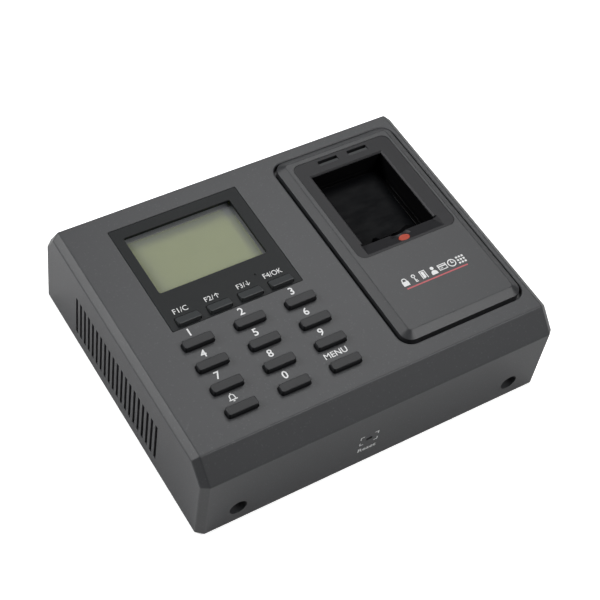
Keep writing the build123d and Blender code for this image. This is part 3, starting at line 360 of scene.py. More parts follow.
@dataclass(frozen=True)
class MetalSheet(Finish):
    """Plated or rolled metal: a fine directional grain and a spangle of plating crystals."""

    colour: str
    spangle: str
    spangle_mm: float = 3.0
    roughness: float = 0.35
    brushed: float = 0.12

    def surface(self, tree: Any) -> Any:
        """Builds spangle, rolling lines and a soft metallic gloss.

        Args:
            tree: the material's node tree.

        Returns:
            The shader output socket.
        """
        place = self.place(tree)
        crystals = add_node(
            tree, "ShaderNodeTexVoronoi", {"Scale": per_metre(self.spangle_mm)}, {"Vector": place}
        )
        draw = add_node(tree, "ShaderNodeSeparateColor", links={0: crystals.outputs["Color"]})
        lines_place = add_node(tree, "ShaderNodeMapping", {"Scale": (1.0, 25.0, 25.0)}, {"Vector": place})
        lines = add_node(
            tree,
            "ShaderNodeTexNoise",
            {"Scale": per_metre(8), "Detail": 3.0},
            {"Vector": lines_place.outputs[0]},
        )
        colour = add_node(
            tree,
            "ShaderNodeMix",
            {"data_type": "RGBA", 6: linear(self.colour), 7: linear(self.spangle)},
            {0: draw.outputs[0]},
        )
        gloss = add_node(
            tree,
            "ShaderNodeMapRange",
            {"To Min": self.roughness - self.brushed, "To Max": self.roughness + self.brushed},
            {"Value": lines.outputs[0]},
        )
        bump = add_node(
            tree,
            "ShaderNodeBump",
            {"Strength": 0.4, "Distance": 0.01 * MM},
            {"Height": lines.outputs[0]},
        )
        shader = add_node(
            tree,
            "ShaderNodeBsdfPrincipled",
            {"Metallic": 1.0},
            {"Base Color": colour.outputs[2], "Roughness": gloss.outputs[0], "Normal": bump.outputs[0]},
        )
        return shader.outputs[0]


@dataclass(frozen=True)
class CircuitBoard(Finish):
    """Glass-epoxy board under solder mask, with copper tracks that show through it."""

    mask: str
    track: str
    track_mm: float = 1.6

    def surface(self, tree: Any) -> Any:
        """Builds stepped tracks under a glossy mask.

        Args:
            tree: the material's node tree.

        Returns:
            The shader output socket.
        """
        place = self.place(tree)
        warp = add_node(
            tree,
            "ShaderNodeTexVoronoi",
            {"Scale": per_metre(self.track_mm * 6), "distance": "CHEBYCHEV"},
            {"Vector": place},
        )
        waves = add_node(
            tree,
            "ShaderNodeMath",
            {"operation": "SINE"},
            {
                0: add_node(
                    tree, "ShaderNodeMath", {"operation": "MULTIPLY", 1: 38.0}, {0: warp.outputs["Distance"]}
                ).outputs[0]
            },
        )
        tracks = add_node(
            tree,
            "ShaderNodeMapRange",
            {"From Min": 0.1, "From Max": 0.3},
            {"Value": waves.outputs[0]},
        )
        colour = add_node(
            tree,
            "ShaderNodeMix",
            {"data_type": "RGBA", 6: linear(self.mask), 7: linear(self.track)},
            {0: tracks.outputs[0]},
        )
        bump = add_node(
            tree, "ShaderNodeBump", {"Distance": 0.03 * MM}, {"Height": tracks.outputs[0]}
        )
        shader = add_node(
            tree,
            "ShaderNodeBsdfPrincipled",
            {"Roughness": 0.28, "IOR": 1.5},
            {"Base Color": colour.outputs[2], "Normal": bump.outputs[0]},
        )
        return shader.outputs[0]


@dataclass(frozen=True)
class Ink(Finish):
    """Pad-printed ink: a thin even film, slightly broken where it sits on the grain."""

    colour: str
    worn: str
    roughness: float = 0.45

    def surface(self, tree: Any) -> Any:
        """Builds a film whose tone drops where the grain shows through.

        Args:
            tree: the material's node tree.

        Returns:
            The shader output socket.
        """
        place = self.place(tree)
        grain = add_node(
            tree, "ShaderNodeTexNoise", {"Scale": per_metre(0.3), "Detail": 2.0}, {"Vector": place}
        )
        worn = add_node(
            tree,
            "ShaderNodeMapRange",
            {"From Min": 0.55, "From Max": 0.75},
            {"Value": grain.outputs[0]},
        )
        colour = add_node(
            tree,
            "ShaderNodeMix",
            {"data_type": "RGBA", 6: linear(self.colour), 7: linear(self.worn)},
            {0: worn.outputs[0]},
        )
        shader = add_node(
            tree,
            "ShaderNodeBsdfPrincipled",
            {"Roughness": self.roughness, "IOR": 1.5},
            {"Base Color": colour.outputs[2]},
        )
        return shader.outputs[0]


@dataclass(frozen=True)
class LightTable(Ink):
    """White acrylic sheet lit from below, which washes the shadows out of the floor."""

    lift: float = 0.6

    def surface(self, tree: Any) -> Any:
        """Adds the sheet's own light, which only the camera sees.

        Args:
            tree: the material's node tree.

        Returns:
            The shader output socket.
        """
        path = add_node(tree, "ShaderNodeLightPath")
        strength = add_node(
            tree,
            "ShaderNodeMath",
            {"operation": "MULTIPLY", 1: self.lift},
            {0: path.outputs["Is Camera Ray"]},
        )
        light = add_node(tree, "ShaderNodeEmission", links={"Strength": strength.outputs[0]})
        both = add_node(tree, "ShaderNodeAddShader", links={0: super().surface(tree), 1: light.outputs[0]})
        return both.outputs[0]


# Moulded ABS with a metallic fleck: a charcoal that sparkles a little where the light grazes it.
HOUSING_ABS = MouldedPlastic(
    "charcoal_abs_housing", "353638", "313234", fleck="414245", fleck_share=0.06, roughness=0.45,
    specular=0.34,
)
# The same resin from a finer tool: the raised panel looks smoother than the housing.
PANEL_ABS = MouldedPlastic(
    "charcoal_abs_panel", "2E2F31", "2B2C2E", fleck="38393C", fleck_share=0.05, grain_deep_mm=0.008,
    roughness=0.43, specular=0.34,
)
# Black ABS behind the wall side, moulded coarse and left matt.
COVER_ABS = MouldedPlastic(
    "black_abs_cover", "2B2B2D", "242426", grain_mm=0.6, grain_deep_mm=0.03, roughness=0.62
)
# Satin ABS: the sensor's insert is darker and closer-grained than the panel round it.
INSERT_ABS = MouldedPlastic(
    "satin_abs_insert", "242426", "212123", grain_mm=0.25, grain_deep_mm=0.005, roughness=0.42,
    specular=0.14,
)
# Satin ABS with a cool tint, round the screen.
DISPLAY_ABS = MouldedPlastic(
    "satin_abs_display_panel", "1C1E1F", "191B1C", grain_mm=0.25, grain_deep_mm=0.005, roughness=0.42,
    specular=0.1,
)
# Keys are smooth-moulded and darker than the face, so they keep a thin glint along their tops.
KEY_ABS = MouldedPlastic(
    "smooth_abs_key", "1F2022", "1C1D1F", grain_mm=0.25, grain_deep_mm=0.004, roughness=0.4,
    specular=0.19,
)
FUNCTION_KEY_ABS = MouldedPlastic(
    "smooth_abs_function_key", "3A3C3D", "363839", grain_mm=0.25, grain_deep_mm=0.004, roughness=0.38,
    specular=0.24,
)
# Glossy black ABS in the well: it shows only as glints on its edges.
GUIDE_ABS = MouldedPlastic(
    "gloss_black_abs_guide", "0A0A0B", "080809", grain_mm=0.4, grain_deep_mm=0.002, roughness=0.24,
    specular=0.06, roughness_swing=0.04, edge_mm=0.3,
)
CHASSIS_ABS = MouldedPlastic("black_abs_chassis", "161617", "121213", roughness=0.5)
# Cast acrylic over the screen with a faint grey-blue film on it: a painted reflection veil that greys the
# shade the panel's edge throws on the screen.
WINDOW_PAINTED_VEIL = PolishedPlastic("acrylic_window_painted_veil", "B4B8BC", roughness=0.2, alpha=0.15, specular=0.06)
LCD_GLASS = LiquidCrystal("olive_liquid_crystal", "747B34", "6F7631")
DIFFUSER = PolishedPlastic("opal_acrylic_diffuser", "E8EAD8", roughness=0.3)
# Smoked acrylic: the indicators are grey bars until their lamps are on.
LENS_SMOKED = PolishedPlastic("smoked_acrylic_lens", "3C3E3F", roughness=0.3, specular=0.1)
# Red acrylic with the sensor's lamp behind it, so that it glows a little by itself.
LENS_RED = PolishedPlastic("red_acrylic_light", "98341E", roughness=0.2, glow=0.1, specular=0.12)
# The prism looks black from above, since it sends the light from its face down to the lens.
PRISM_GLASS = PolishedPlastic("crown_glass_prism", "08090B", roughness=0.25, ior=1.52, specular=0.02)
ZINC_STEEL = MetalSheet("zinc_plated_steel", "A9AEB2", "C3C7CA")
SCREW_STEEL = MetalSheet("zinc_plated_screw", "B4B7B8", "C8CACB", spangle_mm=0.8, roughness=0.28)
BLACK_STEEL = MetalSheet("blackened_steel_screw", "2A2A2C", "343436", spangle_mm=0.8, roughness=0.34)
TINNED_STEEL = MetalSheet("tinned_steel", "C2C4C4", "D0D2D2", spangle_mm=1.6, roughness=0.24)
GOLD_WIRE = MetalSheet("gold_plated_contact", "D8B25A", "E2C070", spangle_mm=0.6, roughness=0.2)
BOARD = CircuitBoard("green_solder_mask", "123C22", "1E5A33")
SILICONE = MouldedPlastic(
    "moulded_silicone", "8C8C8A", "848482", roughness=0.6, ior=1.41, grain_deep_mm=0.003
)
CHIP_EPOXY = MouldedPlastic("moulded_epoxy_chip", "1B1B1C", "171718", grain_mm=0.2, roughness=0.55)
RELAY_SHELL = MouldedPlastic("moulded_relay_shell", "23418A", "1F3B80", roughness=0.3)
SLEEVE = PolishedPlastic("shrunk_vinyl_sleeve", "1C2030", roughness=0.25)
TERMINAL_GREEN = MouldedPlastic(
    "green_polyamide_terminal", "2E7A48", "286E40", roughness=0.42, grain_deep_mm=0.006
)
SWITCH_CAP = MouldedPlastic("white_acetal_cap", "B8B8B2", "AEAEA8", roughness=0.4)
BASKET_STEEL = MetalSheet("painted_steel_basket", "2E2F31", "363739", spangle_mm=1.2, roughness=0.4)
BLACK_CAP = MouldedPlastic("black_acetal_cap", "101011", "0C0C0D", roughness=0.4, specular=0.3)
PAPER_CONE = MouldedPlastic(
    "pressed_paper_cone", "1E1E1E", "262626", grain_mm=0.8, grain_deep_mm=0.05, roughness=0.85
)
FOAM = MouldedPlastic(
    "closed_cell_foam", "202021", "29292A", grain_mm=0.7, grain_deep_mm=0.08, roughness=0.9
)
RIBBON = PolishedPlastic("laminated_ribbon", "CFCDBE", roughness=0.3)
WHITE_INK = Ink("white_pad_print", "CFD0D0", "B0B1B2")
RED_INK = Ink("red_pad_print", "A8424A", "7E3A40")


# ---------------------------------------------------------------- what the sub-assemblies share
@dataclass
class SubAssembly:
    """A group of pieces that is dressed and completed together."""

    nodes: dict[str, Any]

    def build(self) -> None:
        """Dresses the group's pieces and adds what they still lack."""
        raise NotImplementedError

    def dress(self, finish: Finish, *names: str) -> None:
        """Gives nodes of the frame their finish.

        Args:
            finish: the finish.
            names: the nodes that get it.
        """
        for name in names:
            piece = self.nodes[name]
            if not piece.material_slots:
                piece.data.materials.append(None)
            for slot in piece.material_slots:
                slot.material = finish.material()
        log.info("%s: %s", finish.name, ", ".join(names))

    @staticmethod
    def add(name: str, shape: Any, finish: Finish, slot: str | None = None) -> None:
        """Turns a finished shape into a piece that stays with the housing.

        Args:
            name: the piece's name.
            shape: its bmesh, in the row frame; it's freed here.
            finish: what it is made of.
            slot: not used.
        """
        bmesh.ops.recalc_face_normals(shape, faces=list(shape.faces))
        mesh = bpy.data.meshes.new(name)
        shape.to_mesh(mesh)
        shape.free()
        mesh.materials.append(finish.material())
        piece = bpy.data.objects.new(name, mesh)
        bpy.context.scene.collection.objects.link(piece)
        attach(piece, "root")
        log.info("piece %s", name)

    @staticmethod
    def middle(name: str) -> Vector:
        """The middle of a node's box."""
        low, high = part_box(name)
        return (Vector(low) + Vector(high)) / 2


def add_block(shape: Any, low: tuple[float, ...], high: tuple[float, ...]) -> None:
    """Adds a block with slightly broken edges to a shape.

    Args:
        shape: the bmesh that gets it.
        low: its lowest corner.
        high: its highest corner.
    """
    size = [b - a for a, b in zip(low, high)]
    centre = [(a + b) / 2 for a, b in zip(low, high)]
    place = Matrix.Translation(centre) @ Matrix.Diagonal((*size, 1.0))
    made = bmesh.ops.create_cube(shape, size=1.0, matrix=place)
    edges = list({e for v in made["verts"] for e in v.link_edges})
    round_off = min(size) * BROKEN_EDGE
    bmesh.ops.bevel(shape, geom=edges, offset=round_off, segments=2, profile=0.5, affect="EDGES")


def add_rod(shape: Any, start: Vector, end: Vector, radius: float) -> None:
    """Adds a round bar with broken edges to a shape.

    Args:
        shape: the bmesh that gets it.
        start: the middle of one end.
        end: the middle of the other.
        radius: its radius.
    """
    along = end - start
    place = Matrix.Translation((start + end) / 2) @ along.to_track_quat("Z", "Y").to_matrix().to_4x4()
    made = bmesh.ops.create_cone(
        shape, cap_ends=True, segments=28, radius1=radius, radius2=radius, depth=along.length, matrix=place
    )
    rims = list({e for v in made["verts"] for e in v.link_edges if len(e.link_faces) == 2
                 and any(len(f.verts) > 4 for f in e.link_faces)})
    bmesh.ops.bevel(shape, geom=rims, offset=radius * BROKEN_EDGE, segments=2, profile=0.5, affect="EDGES")


# ---------------------------------------------------------------- prints
def box_mark(x0: float, y0: float, x1: float, y1: float) -> list[Point]:
    """A rectangle's outline."""
    return [(x0, y0), (x1, y0), (x1, y1), (x0, y1)]


def arc_mark(centre: Point, radius: float, wide: float, start: float, end: float) -> list[Point]:
    """The outline of a thick arc, or of a disc's sector where it is as wide as twice its radius.

    Args:
        centre: the arc's centre.
        radius: the radius of its middle line.
        wide: the width of the line.
        start: where it starts, in degrees.
        end: where it ends, in degrees.

    Returns:
        The closed outline.
    """
    turns = [math.radians(start + (end - start) * i / ARC_STEPS) for i in range(ARC_STEPS + 1)]
    outer, inner = radius + wide / 2, radius - wide / 2
    outline = [(centre[0] + outer * math.cos(t), centre[1] + outer * math.sin(t)) for t in turns]
    if inner > 1e-6:
        back = reversed(turns)
        outline += [(centre[0] + inner * math.cos(t), centre[1] + inner * math.sin(t)) for t in back]
    return outline


def ring_marks(centre: Point, radius: float, wide: float) -> list[list[Point]]:
    """A ring as two half arcs."""
    return [arc_mark(centre, radius, wide, a, a + 180) for a in (0, 180)]


class Glyph(Enum):
    """Marks that are drawn as shapes and not as letters, one unit tall about their middle."""

    BELL = [
        arc_mark((0.0, 0.10), 0.25, 0.10, 0, 180),
        [(-0.30, 0.10), (-0.20, 0.10), (-0.22, -0.16), (-0.33, -0.22)],
        [(0.20, 0.10), (0.30, 0.10), (0.33, -0.22), (0.22, -0.16)],
        box_mark(-0.46, -0.32, 0.46, -0.22),
        box_mark(-0.06, 0.40, 0.06, 0.50),
        arc_mark((0.0, -0.38), 0.06, 0.12, 180, 360),
    ]
    PADLOCK = [
        box_mark(-0.36, -0.50, 0.36, 0.04),
        arc_mark((0.0, 0.16), 0.23, 0.11, 0, 180),
        box_mark(-0.285, 0.03, -0.175, 0.17),
        box_mark(0.175, 0.03, 0.285, 0.17),
    ]
    KEY = [
        *ring_marks((0.0, 0.26), 0.17, 0.11),
        box_mark(-0.055, -0.50, 0.055, 0.12),
        box_mark(0.05, -0.50, 0.24, -0.40),
        box_mark(0.05, -0.32, 0.20, -0.22),
    ]
    DOOR = [
        box_mark(-0.36, -0.50, -0.26, 0.50),
        box_mark(-0.26, 0.40, 0.30, 0.50),
        box_mark(0.20, -0.50, 0.30, 0.40),
        [(-0.20, -0.50), (0.10, -0.38), (0.10, 0.34), (-0.20, 0.34)],
    ]
    PERSON = [
        arc_mark((0.0, 0.28), 0.1, 0.2, 0, 180),
        arc_mark((0.0, 0.28), 0.1, 0.2, 180, 360),
        [(-0.36, -0.50), (0.36, -0.50), (0.34, -0.22), (0.22, -0.04), (0.0, 0.02), (-0.22, -0.04),
         (-0.34, -0.22)],
    ]
    CARD = [
        box_mark(-0.50, -0.36, 0.50, -0.27),
        box_mark(-0.50, 0.27, 0.50, 0.36),
        box_mark(-0.50, -0.27, -0.41, 0.27),
        box_mark(0.41, -0.27, 0.50, 0.27),
        box_mark(-0.41, 0.04, 0.41, 0.18),
        box_mark(-0.30, -0.16, 0.00, -0.08),
    ]
    CLOCK = [
        *ring_marks((0.0, 0.0), 0.42, 0.11),
        box_mark(-0.05, -0.05, 0.05, 0.30),
        box_mark(0.05, -0.05, 0.24, 0.05),
    ]
    KEYPAD = [
        box_mark(x - 0.11, y - 0.11, x + 0.11, y + 0.11)
        for x in (-0.34, 0.0, 0.34)
        for y in (-0.36, 0.0, 0.36)
    ]


FACE_ON = Matrix.Identity(4)
BOTTOM_WALL = Matrix.Rotation(math.pi / 2, 4, "X")  # lays a print on the wall that faces -Y


class Print:
    """A pad print that is laid down mark by mark and then kept as one thin film."""

    def __init__(self, facing: Matrix = FACE_ON, thickness: float = 0.02 * MM) -> None:
        """Starts an empty print.

        Args:
            facing: the rotation that lays it on its face.
            thickness: the thickness of the ink.
        """
        self.facing = facing
        self.thickness = thickness
        self.shape = bmesh.new()

    def marks(self, outlines: list[list[Point]], at: Vector, size: float = MM) -> None:
        """Prints closed outlines.

        Args:
            outlines: the outlines, which don't overlap.
            at: the place of their origin.
            size: the length of one unit of the outlines.
        """
        place = Matrix.Translation(at) @ self.facing
        faces = []
        for outline in outlines:
            corners = [self.shape.verts.new(place @ Vector((x * size, y * size, 0))) for x, y in outline]
            faces.append(self.shape.faces.new(corners))
        raised = bmesh.ops.extrude_face_region(self.shape, geom=faces, use_keep_orig=True)
        up = place.to_3x3() @ Vector((0, 0, self.thickness))
        moved = [v for v in raised["geom"] if isinstance(v, bmesh.types.BMVert)]
        bmesh.ops.translate(self.shape, verts=moved, vec=up)

    def words(
        self, text: str, at: Vector, height: float, width: float | None = None, bold: float = 0.012
    ) -> None:
        """Prints letters or digits about a point.

        Args:
            text: what is printed.
            at: the middle of the print.
            height: its whole height.
            width: its whole width, or None to keep the letters' own.
            bold: how much the strokes are thickened, as a share of the letter size.
        """
        curve = bpy.data.curves.new("words", "FONT")
        curve.body, curve.offset, curve.resolution_u = text, bold, 4
        curve.extrude = LETTER_HALF_DEEP
        source = bpy.data.objects.new("words", curve)
        bpy.context.scene.collection.objects.link(source)
        bpy.context.view_layer.update()
        graph = bpy.context.evaluated_depsgraph_get()
        mesh = bpy.data.meshes.new_from_object(source.evaluated_get(graph))
        bpy.data.objects.remove(source)
        xs, ys = [v.co.x for v in mesh.vertices], [v.co.y for v in mesh.vertices]
        up = height / (max(ys) - min(ys))
        across = up if width is None else width / (max(xs) - min(xs))
        middle = Vector(((max(xs) + min(xs)) / 2, (max(ys) + min(ys)) / 2, -LETTER_HALF_DEEP))
        flat = self.thickness / (2 * LETTER_HALF_DEEP)
        fit = Matrix.Diagonal((across, up, flat, 1.0)) @ Matrix.Translation(-middle)
        mesh.transform(Matrix.Translation(at) @ self.facing @ fit)
        self.shape.from_mesh(mesh)
        bpy.data.meshes.remove(mesh)


# ---------------------------------------------------------------- the sub-assemblies
@dataclass
class Housing(SubAssembly):
    """The front shell, with the print round the reset pinhole in its bottom wall."""

    reset_frame: Point = (9.4 * MM, 6.4 * MM)
    reset_tick: float = 2.0 * MM
    reset_line: float = 0.45 * MM
    reset_legend_drop: float = 7.2 * MM
    reset_legend: Point = (9.4 * MM, 2.6 * MM)

    def build(self) -> None:
        """Dresses the shell and prints the reset marks."""
        self.dress(HOUSING_ABS, "front_housing")
        wall_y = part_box("front_housing")[0][1] - PRINT_LIFT
        button = self.middle("reset_button")
        at = Vector((button.x, wall_y, button.z))
        half_x, half_z = (side / 2 for side in self.reset_frame)
        tick, line = self.reset_tick, self.reset_line
        corners = []
        for sx in (-1, 1):
            for sz in (-1, 1):
                x, z = sx * half_x, sz * half_z
                corners.append(box_mark(x, z, x - sx * line, z - sz * tick))
                corners.append(box_mark(x - sx * line, z, x - sx * tick, z - sz * line))
        ink = Print(BOTTOM_WALL)
        ink.marks(corners, at, 1.0)
        wide, tall = self.reset_legend
        ink.words("Reset", at - Vector((0, 0, self.reset_legend_drop)), tall, wide)
        self.add("reset_print", ink.shape, WHITE_INK)


@dataclass
class Display(SubAssembly):
    """The screen, its panel and the print over the function keys."""

    legends: tuple[str, ...] = ("F1/C", "F2/↑", "F3/↓", "F4/OK")
    legend_x: tuple[float, ...] = (-0.8, -0.7, -0.4, -0.9)  # from each key's middle
    legend_wide: tuple[float, ...] = (6.9, 7.1, 6.6, 9.2)
    legend_up: float = 5.7
    legend_tall: float = 2.7

    def build(self) -> None:
        """Dresses the screen's pieces and prints the function keys' legends."""
        self.dress(DISPLAY_ABS, "display_panel")
        # the window's grey-blue film is a painted reflection veil over the screen
        self.dress(WINDOW_PAINTED_VEIL, "display_window")
        self.dress(LCD_GLASS, "lcd_cell")
        self.dress(DIFFUSER, "lcd_backlight")
        self.dress(TINNED_STEEL, "lcd_frame")
        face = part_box("display_panel")[1][2] + PRINT_LIFT
        ink = Print()
        for i, (text, off, wide) in enumerate(zip(self.legends, self.legend_x, self.legend_wide)):
            key = self.middle(f"key_f{i + 1}")
            at = Vector((key.x + off * MM, key.y + self.legend_up * MM, face))
            ink.words(text, at, self.legend_tall * MM, wide * MM, 0.0)
        self.add("function_key_print", ink.shape, WHITE_INK)


@dataclass
class Keypad(SubAssembly):
    """The keys, their legends and the silicone mat."""

    legend_off: Point = (-0.7 * MM, 6.6 * MM)
    digit_tall: float = 3.9 * MM
    bell_tall: float = 4.3 * MM
    menu_off: Point = (-0.8 * MM, 6.6 * MM)
    menu_size: Point = (11.2 * MM, 2.9 * MM)

    def build(self) -> None:
        """Dresses the keys and prints the legend over each."""
        keys = [name for name in self.nodes if name.startswith("key_")]
        self.dress(KEY_ABS, *[name for name in keys if not name.startswith("key_f")])
        self.dress(FUNCTION_KEY_ABS, *[name for name in keys if name.startswith("key_f")])
        self.dress(SILICONE, "keypad_mat")
        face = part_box("front_housing")[1][2] + PRINT_LIFT
        ink = Print()
        for name in keys:
            mark = name.removeprefix("key_")
            key = self.middle(name)
            at = Vector((key.x + self.legend_off[0], key.y + self.legend_off[1], face))
            if mark.isdigit():
                ink.words(mark, at, self.digit_tall, None, 0.014)
            elif mark == "bell":
                ink.marks(Glyph.BELL.value, at, self.bell_tall)
            elif mark == "menu":
                at = Vector((key.x + self.menu_off[0], key.y + self.menu_off[1], face))
                ink.words("MENU", at, self.menu_size[1], self.menu_size[0], 0.008)
        self.add("number_key_print", ink.shape, WHITE_INK)


@dataclass
class SensorUnit(SubAssembly):
    """The raised panel, the dark insert, the finger opening and the optics in it."""

    signs: tuple[Glyph, ...] = (
        Glyph.PADLOCK, Glyph.KEY, Glyph.DOOR, Glyph.PERSON, Glyph.CARD, Glyph.CLOCK, Glyph.KEYPAD,
    )
    sign_x: Point = (36.2 * MM, 66.8 * MM)
    sign_y: float = -27.2 * MM
    sign_tall: float = 4.5 * MM
    line_x: Point = (35.0 * MM, 68.0 * MM)
    line_y: float = -31.0 * MM
    line_wide: float = 0.7 * MM

    def build(self) -> None:
        """Dresses the unit and prints its row of signs with the line under it."""
        self.dress(PANEL_ABS, "sensor_panel")
        self.dress(INSERT_ABS, "sensor_insert")
        self.dress(GUIDE_ABS, "finger_guide")
        self.dress(PRISM_GLASS, "prism")
        self.dress(LENS_RED, "finger_light")
        self.dress(LENS_SMOKED, "indicator_lenses")
        self.dress(CHASSIS_ABS, "sensor_chassis", "camera_lens")
        self.dress(BOARD, "sensor_board")
        self.dress(SCREW_STEEL, "sensor_board_screws")
        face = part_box("sensor_panel")[1][2] + PRINT_LIFT
        signs = Print()
        step = (self.sign_x[1] - self.sign_x[0]) / (len(self.signs) - 1)
        for i, glyph in enumerate(self.signs):
            at = Vector((self.sign_x[0] + i * step, self.sign_y, face))
            signs.marks(glyph.value, at, self.sign_tall)
        self.add("sign_print", signs.shape, WHITE_INK)
        line = Print()
        half = self.line_wide / 2
        bar = box_mark(self.line_x[0], -half, self.line_x[1], half)
        line.marks([bar], Vector((0, self.line_y, face)), 1.0)
        self.add("line_print", line.shape, RED_INK)


@dataclass
class Rear(SubAssembly):
    """The rear cover, the steel wall plate and the screws that hold them."""

    def build(self) -> None:
        """Dresses the wall side."""
        self.dress(COVER_ABS, "rear_cover")
        self.dress(ZINC_STEEL, "wall_plate")
        self.dress(SCREW_STEEL, "cover_screws")
        self.dress(BLACK_STEEL, "locking_screws")


@dataclass
class Terminals(SubAssembly):
    """One green terminal block: its clamp screws and the steel leaves that grip the wires."""

    name: str = "power_terminals"
    ways: int = 5
    pitch: float = 3.5 * MM
    screw_off: float = 2.4 * MM
    screw_radius: float = 1.05 * MM
    screw_sunk: float = 1.0 * MM
    screw_long: float = 2.7 * MM
    recess: Point = (0.35 * MM, 0.6 * MM)
    leaf_off: float = -0.7 * MM
    leaf_size: Point = (1.9 * MM, 0.3 * MM)
    leaf_run: Point = (1.6 * MM, 6.4 * MM)

    def build(self) -> None:
        """Dresses the block and fills its ways."""
        self.dress(TERMINAL_GREEN, self.name)
        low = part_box(self.name)[0][2]
        centre = self.middle(self.name)
        screws, leaves = bmesh.new(), bmesh.new()
        for i in range(self.ways):
            x = centre.x + self.pitch * (i - (self.ways - 1) / 2)
            y = centre.y + self.screw_off
            for side in (-1, 1):
                self.half_head(screws, x, y, low + self.screw_sunk, side)
            near = centre.y + self.leaf_off
            corner = (x - self.leaf_size[0] / 2, near, low + self.leaf_run[0])
            far = (x + self.leaf_size[0] / 2, near + self.leaf_size[1], low + self.leaf_run[1])
            add_block(leaves, corner, far)
        self.add(f"{self.name}_screws", screws, SCREW_STEEL)
        self.add(f"{self.name}_leaves", leaves, TINNED_STEEL)

    def half_head(self, shape: Any, x: float, y: float, top: float, side: int) -> None:
        """Adds one half of a slotted head; the slot is the gap between the halves.

        Args:
            shape: the bmesh that gets it.
            x: the screw's place across.
            y: the screw's place up the wall.
            top: the height of the head's face, which looks at the wall.
            side: which half.
        """
        gap, deep = self.recess
        edge = math.asin(gap / 2 / self.screw_radius)
        turns = [edge + (math.pi - 2 * edge) * i / HEAD_STEPS for i in range(HEAD_STEPS + 1)]
        rim = [(self.screw_radius * math.cos(t), side * self.screw_radius * math.sin(t)) for t in turns]
        low, high = top, top + deep
        rows = [[shape.verts.new((x + a, y + b, z)) for a, b in rim] for z in (low, high)]
        shape.faces.new(rows[0])
        shape.faces.new(rows[1])
        for i in range(len(rim)):
            j = (i + 1) % len(rim)
            shape.faces.new((rows[0][i], rows[0][j], rows[1][j], rows[1][i]))
        if side > 0:
            add_rod(shape, Vector((x, y, high)), Vector((x, y, top + self.screw_long)), self.screw_radius)


@dataclass
class NetworkSocket(SubAssembly):
    """The shielded network socket with its eight sprung contacts."""

    contacts: int = 8
    pitch: float = 1.02 * MM
    wire_radius: float = 0.22 * MM
    back_z: float = 17.6 * MM
    mouth_z: float = 10.2 * MM
    reach: float = 3.3 * MM
    tail_long: float = 1.2 * MM
    bend_overlap: float = 0.2 * MM

    def build(self) -> None:
        """Dresses the socket and bends its contacts across the port."""
        self.dress(TINNED_STEEL, "network_socket")
        centre = self.middle("network_socket")
        shape = bmesh.new()
        for i in range(self.contacts):
            x = centre.x + self.pitch * (i - (self.contacts - 1) / 2)
            back = Vector((x, centre.y - self.reach * 0.2, self.back_z))
            mouth = Vector((x, centre.y + self.reach, self.mouth_z))
            add_rod(shape, back, mouth, self.wire_radius)
            tail = back + Vector((0, 0, self.tail_long))
            add_rod(shape, tail, back - Vector((0, 0, self.bend_overlap)), self.wire_radius)
        self.add("network_contacts", shape, GOLD_WIRE)


@dataclass
class Electronics(SubAssembly):
    """The boards and what is soldered or plugged to them."""

    def build(self) -> None:
        """Dresses the boards, chips, switches and flat cables."""
        self.dress(BOARD, "lcd_board", "keypad_board", "main_board")
        self.dress(SCREW_STEEL, "board_screws")
        self.dress(CHIP_EPOXY, "processor", "memory_chips", "reset_switch", "tamper_switch")
        self.dress(RELAY_SHELL, "relay")
        self.dress(TINNED_STEEL, "backup_battery")
        self.dress(SLEEVE, "capacitors")
        self.dress(BLACK_CAP, "reset_button")
        self.dress(SWITCH_CAP, "tamper_pin")
        self.dress(RIBBON, "display_ribbon", "keypad_ribbon", "sensor_ribbon")
        Terminals(self.nodes, "power_terminals", 5).build()
        Terminals(self.nodes, "lock_terminals", 8).build()
        NetworkSocket(self.nodes).build()


@dataclass
class Speaker(SubAssembly):
    """The speaker behind the slots in the left wall."""

    def build(self) -> None:
        """Dresses the basket, the cone and the foam ring."""
        self.dress(BASKET_STEEL, "speaker")
        self.dress(PAPER_CONE, "speaker_cone")
        self.dress(FOAM, "speaker_gasket")


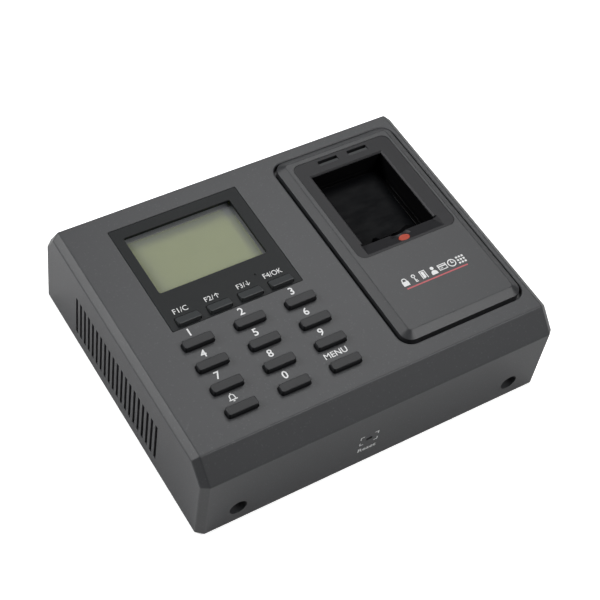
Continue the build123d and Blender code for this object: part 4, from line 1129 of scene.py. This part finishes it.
@dataclass
class Studio:
    """The pale floor, the soft lights and the camera."""

    azimuth: float = -39.63
    elevation: float = 51.37
    roll: float = 10.76
    distance: float = 0.6803
    lens: float = 89.5
    aim: tuple[float, float, float] = (2.9 * MM, 1.6 * MM, 24.0 * MM)

    def build(self) -> None:
        """Makes the floor, the lights and the camera."""
        self.floor()
        self.lights()
        self.camera()

    def floor(self) -> None:
        """Makes a wide pale floor under the terminal."""
        shape = bmesh.new()
        bmesh.ops.create_grid(shape, x_segments=1, y_segments=1, size=4.0)
        mesh = bpy.data.meshes.new("studio_floor")
        shape.to_mesh(mesh)
        shape.free()
        floor = bpy.data.objects.new("studio_floor", mesh)
        bpy.context.scene.collection.objects.link(floor)
        mesh.materials.append(LightTable("lit_white_table", "FDFDFD", "F8F8F8", roughness=0.9).material())

    def camera(self) -> None:
        """Sets the camera at the viewing angle, with its small roll."""
        a, e, r = (math.radians(v) for v in (self.azimuth, self.elevation, self.roll))
        back = Vector((math.sin(a) * math.cos(e), -math.cos(a) * math.cos(e), math.sin(e)))
        level = Vector((0, 0, 1)).cross(back).normalized()
        right = math.cos(r) * level + math.sin(r) * back.cross(level)
        up = back.cross(right)
        data = bpy.data.cameras.new("camera")
        data.lens = self.lens
        data.clip_start = 0.01
        camera = bpy.data.objects.new("camera", data)
        bpy.context.scene.collection.objects.link(camera)
        turn = Matrix((right, up, back)).transposed().to_4x4()
        camera.matrix_world = Matrix.Translation(Vector(self.aim) + back * self.distance) @ turn
        bpy.context.scene.camera = camera

    def lamp(self, name: str, towards: tuple[float, float, float], size: float, power: float) -> None:
        """Hangs a square soft light that faces the terminal.

        Args:
            name: the light's name.
            towards: the direction from the terminal to the light.
            size: the side of the light.
            power: its power in watts.
        """
        data = bpy.data.lights.new(name, "AREA")
        data.size = size
        data.energy = power
        lamp = bpy.data.objects.new(name, data)
        bpy.context.scene.collection.objects.link(lamp)
        direction = Vector(towards).normalized()
        lamp.location = direction * 1.4
        lamp.rotation_mode = "QUATERNION"
        lamp.rotation_quaternion = direction.to_track_quat("Z", "Y")

    def lights(self) -> None:
        """Hangs the lights and sets the even light of the room."""
        self.lamp("back_right_light", (0.36, 0.42, 0.82), 0.7, 8.6)
        self.lamp("back_left_light", (-0.66, 0.48, 0.58), 0.5, 13.0)
        self.lamp("front_right_light", (0.40, -0.54, 0.74), 0.5, 10.2)
        self.lamp("top_light", (0.0, 0.0, 1.0), 0.7, 1.0)
        self.lamp("left_light", (-1.2, 0.3, 0.4), 0.8, 2.6)
        world = bpy.data.worlds.new("studio_room")
        world.use_nodes = True
        world.node_tree.nodes.clear()
        light = add_node(
            world.node_tree, "ShaderNodeBackground", {"Color": linear("FFFFFF"), "Strength": 0.02}
        )
        add_node(world.node_tree, "ShaderNodeOutputWorld", links={"Surface": light.outputs[0]})
        bpy.context.scene.world = world
        bpy.context.scene.view_settings.view_transform = "Standard"


def main(nodes: dict[str, Any]) -> None:
    """Builds the terminal sub-assembly by sub-assembly, then lights it.

    Args:
        nodes: the frame's objects by node name.
    """
    for group in (Housing, Display, Keypad, SensorUnit, Rear, Electronics, Speaker):
        log.info("-- %s", group.__name__)
        group(nodes).build()
    Studio().build()


if __name__ == "__main__":
    logging.basicConfig(level=logging.INFO, format="%(message)s")
    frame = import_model()
    main(frame["nodes"])
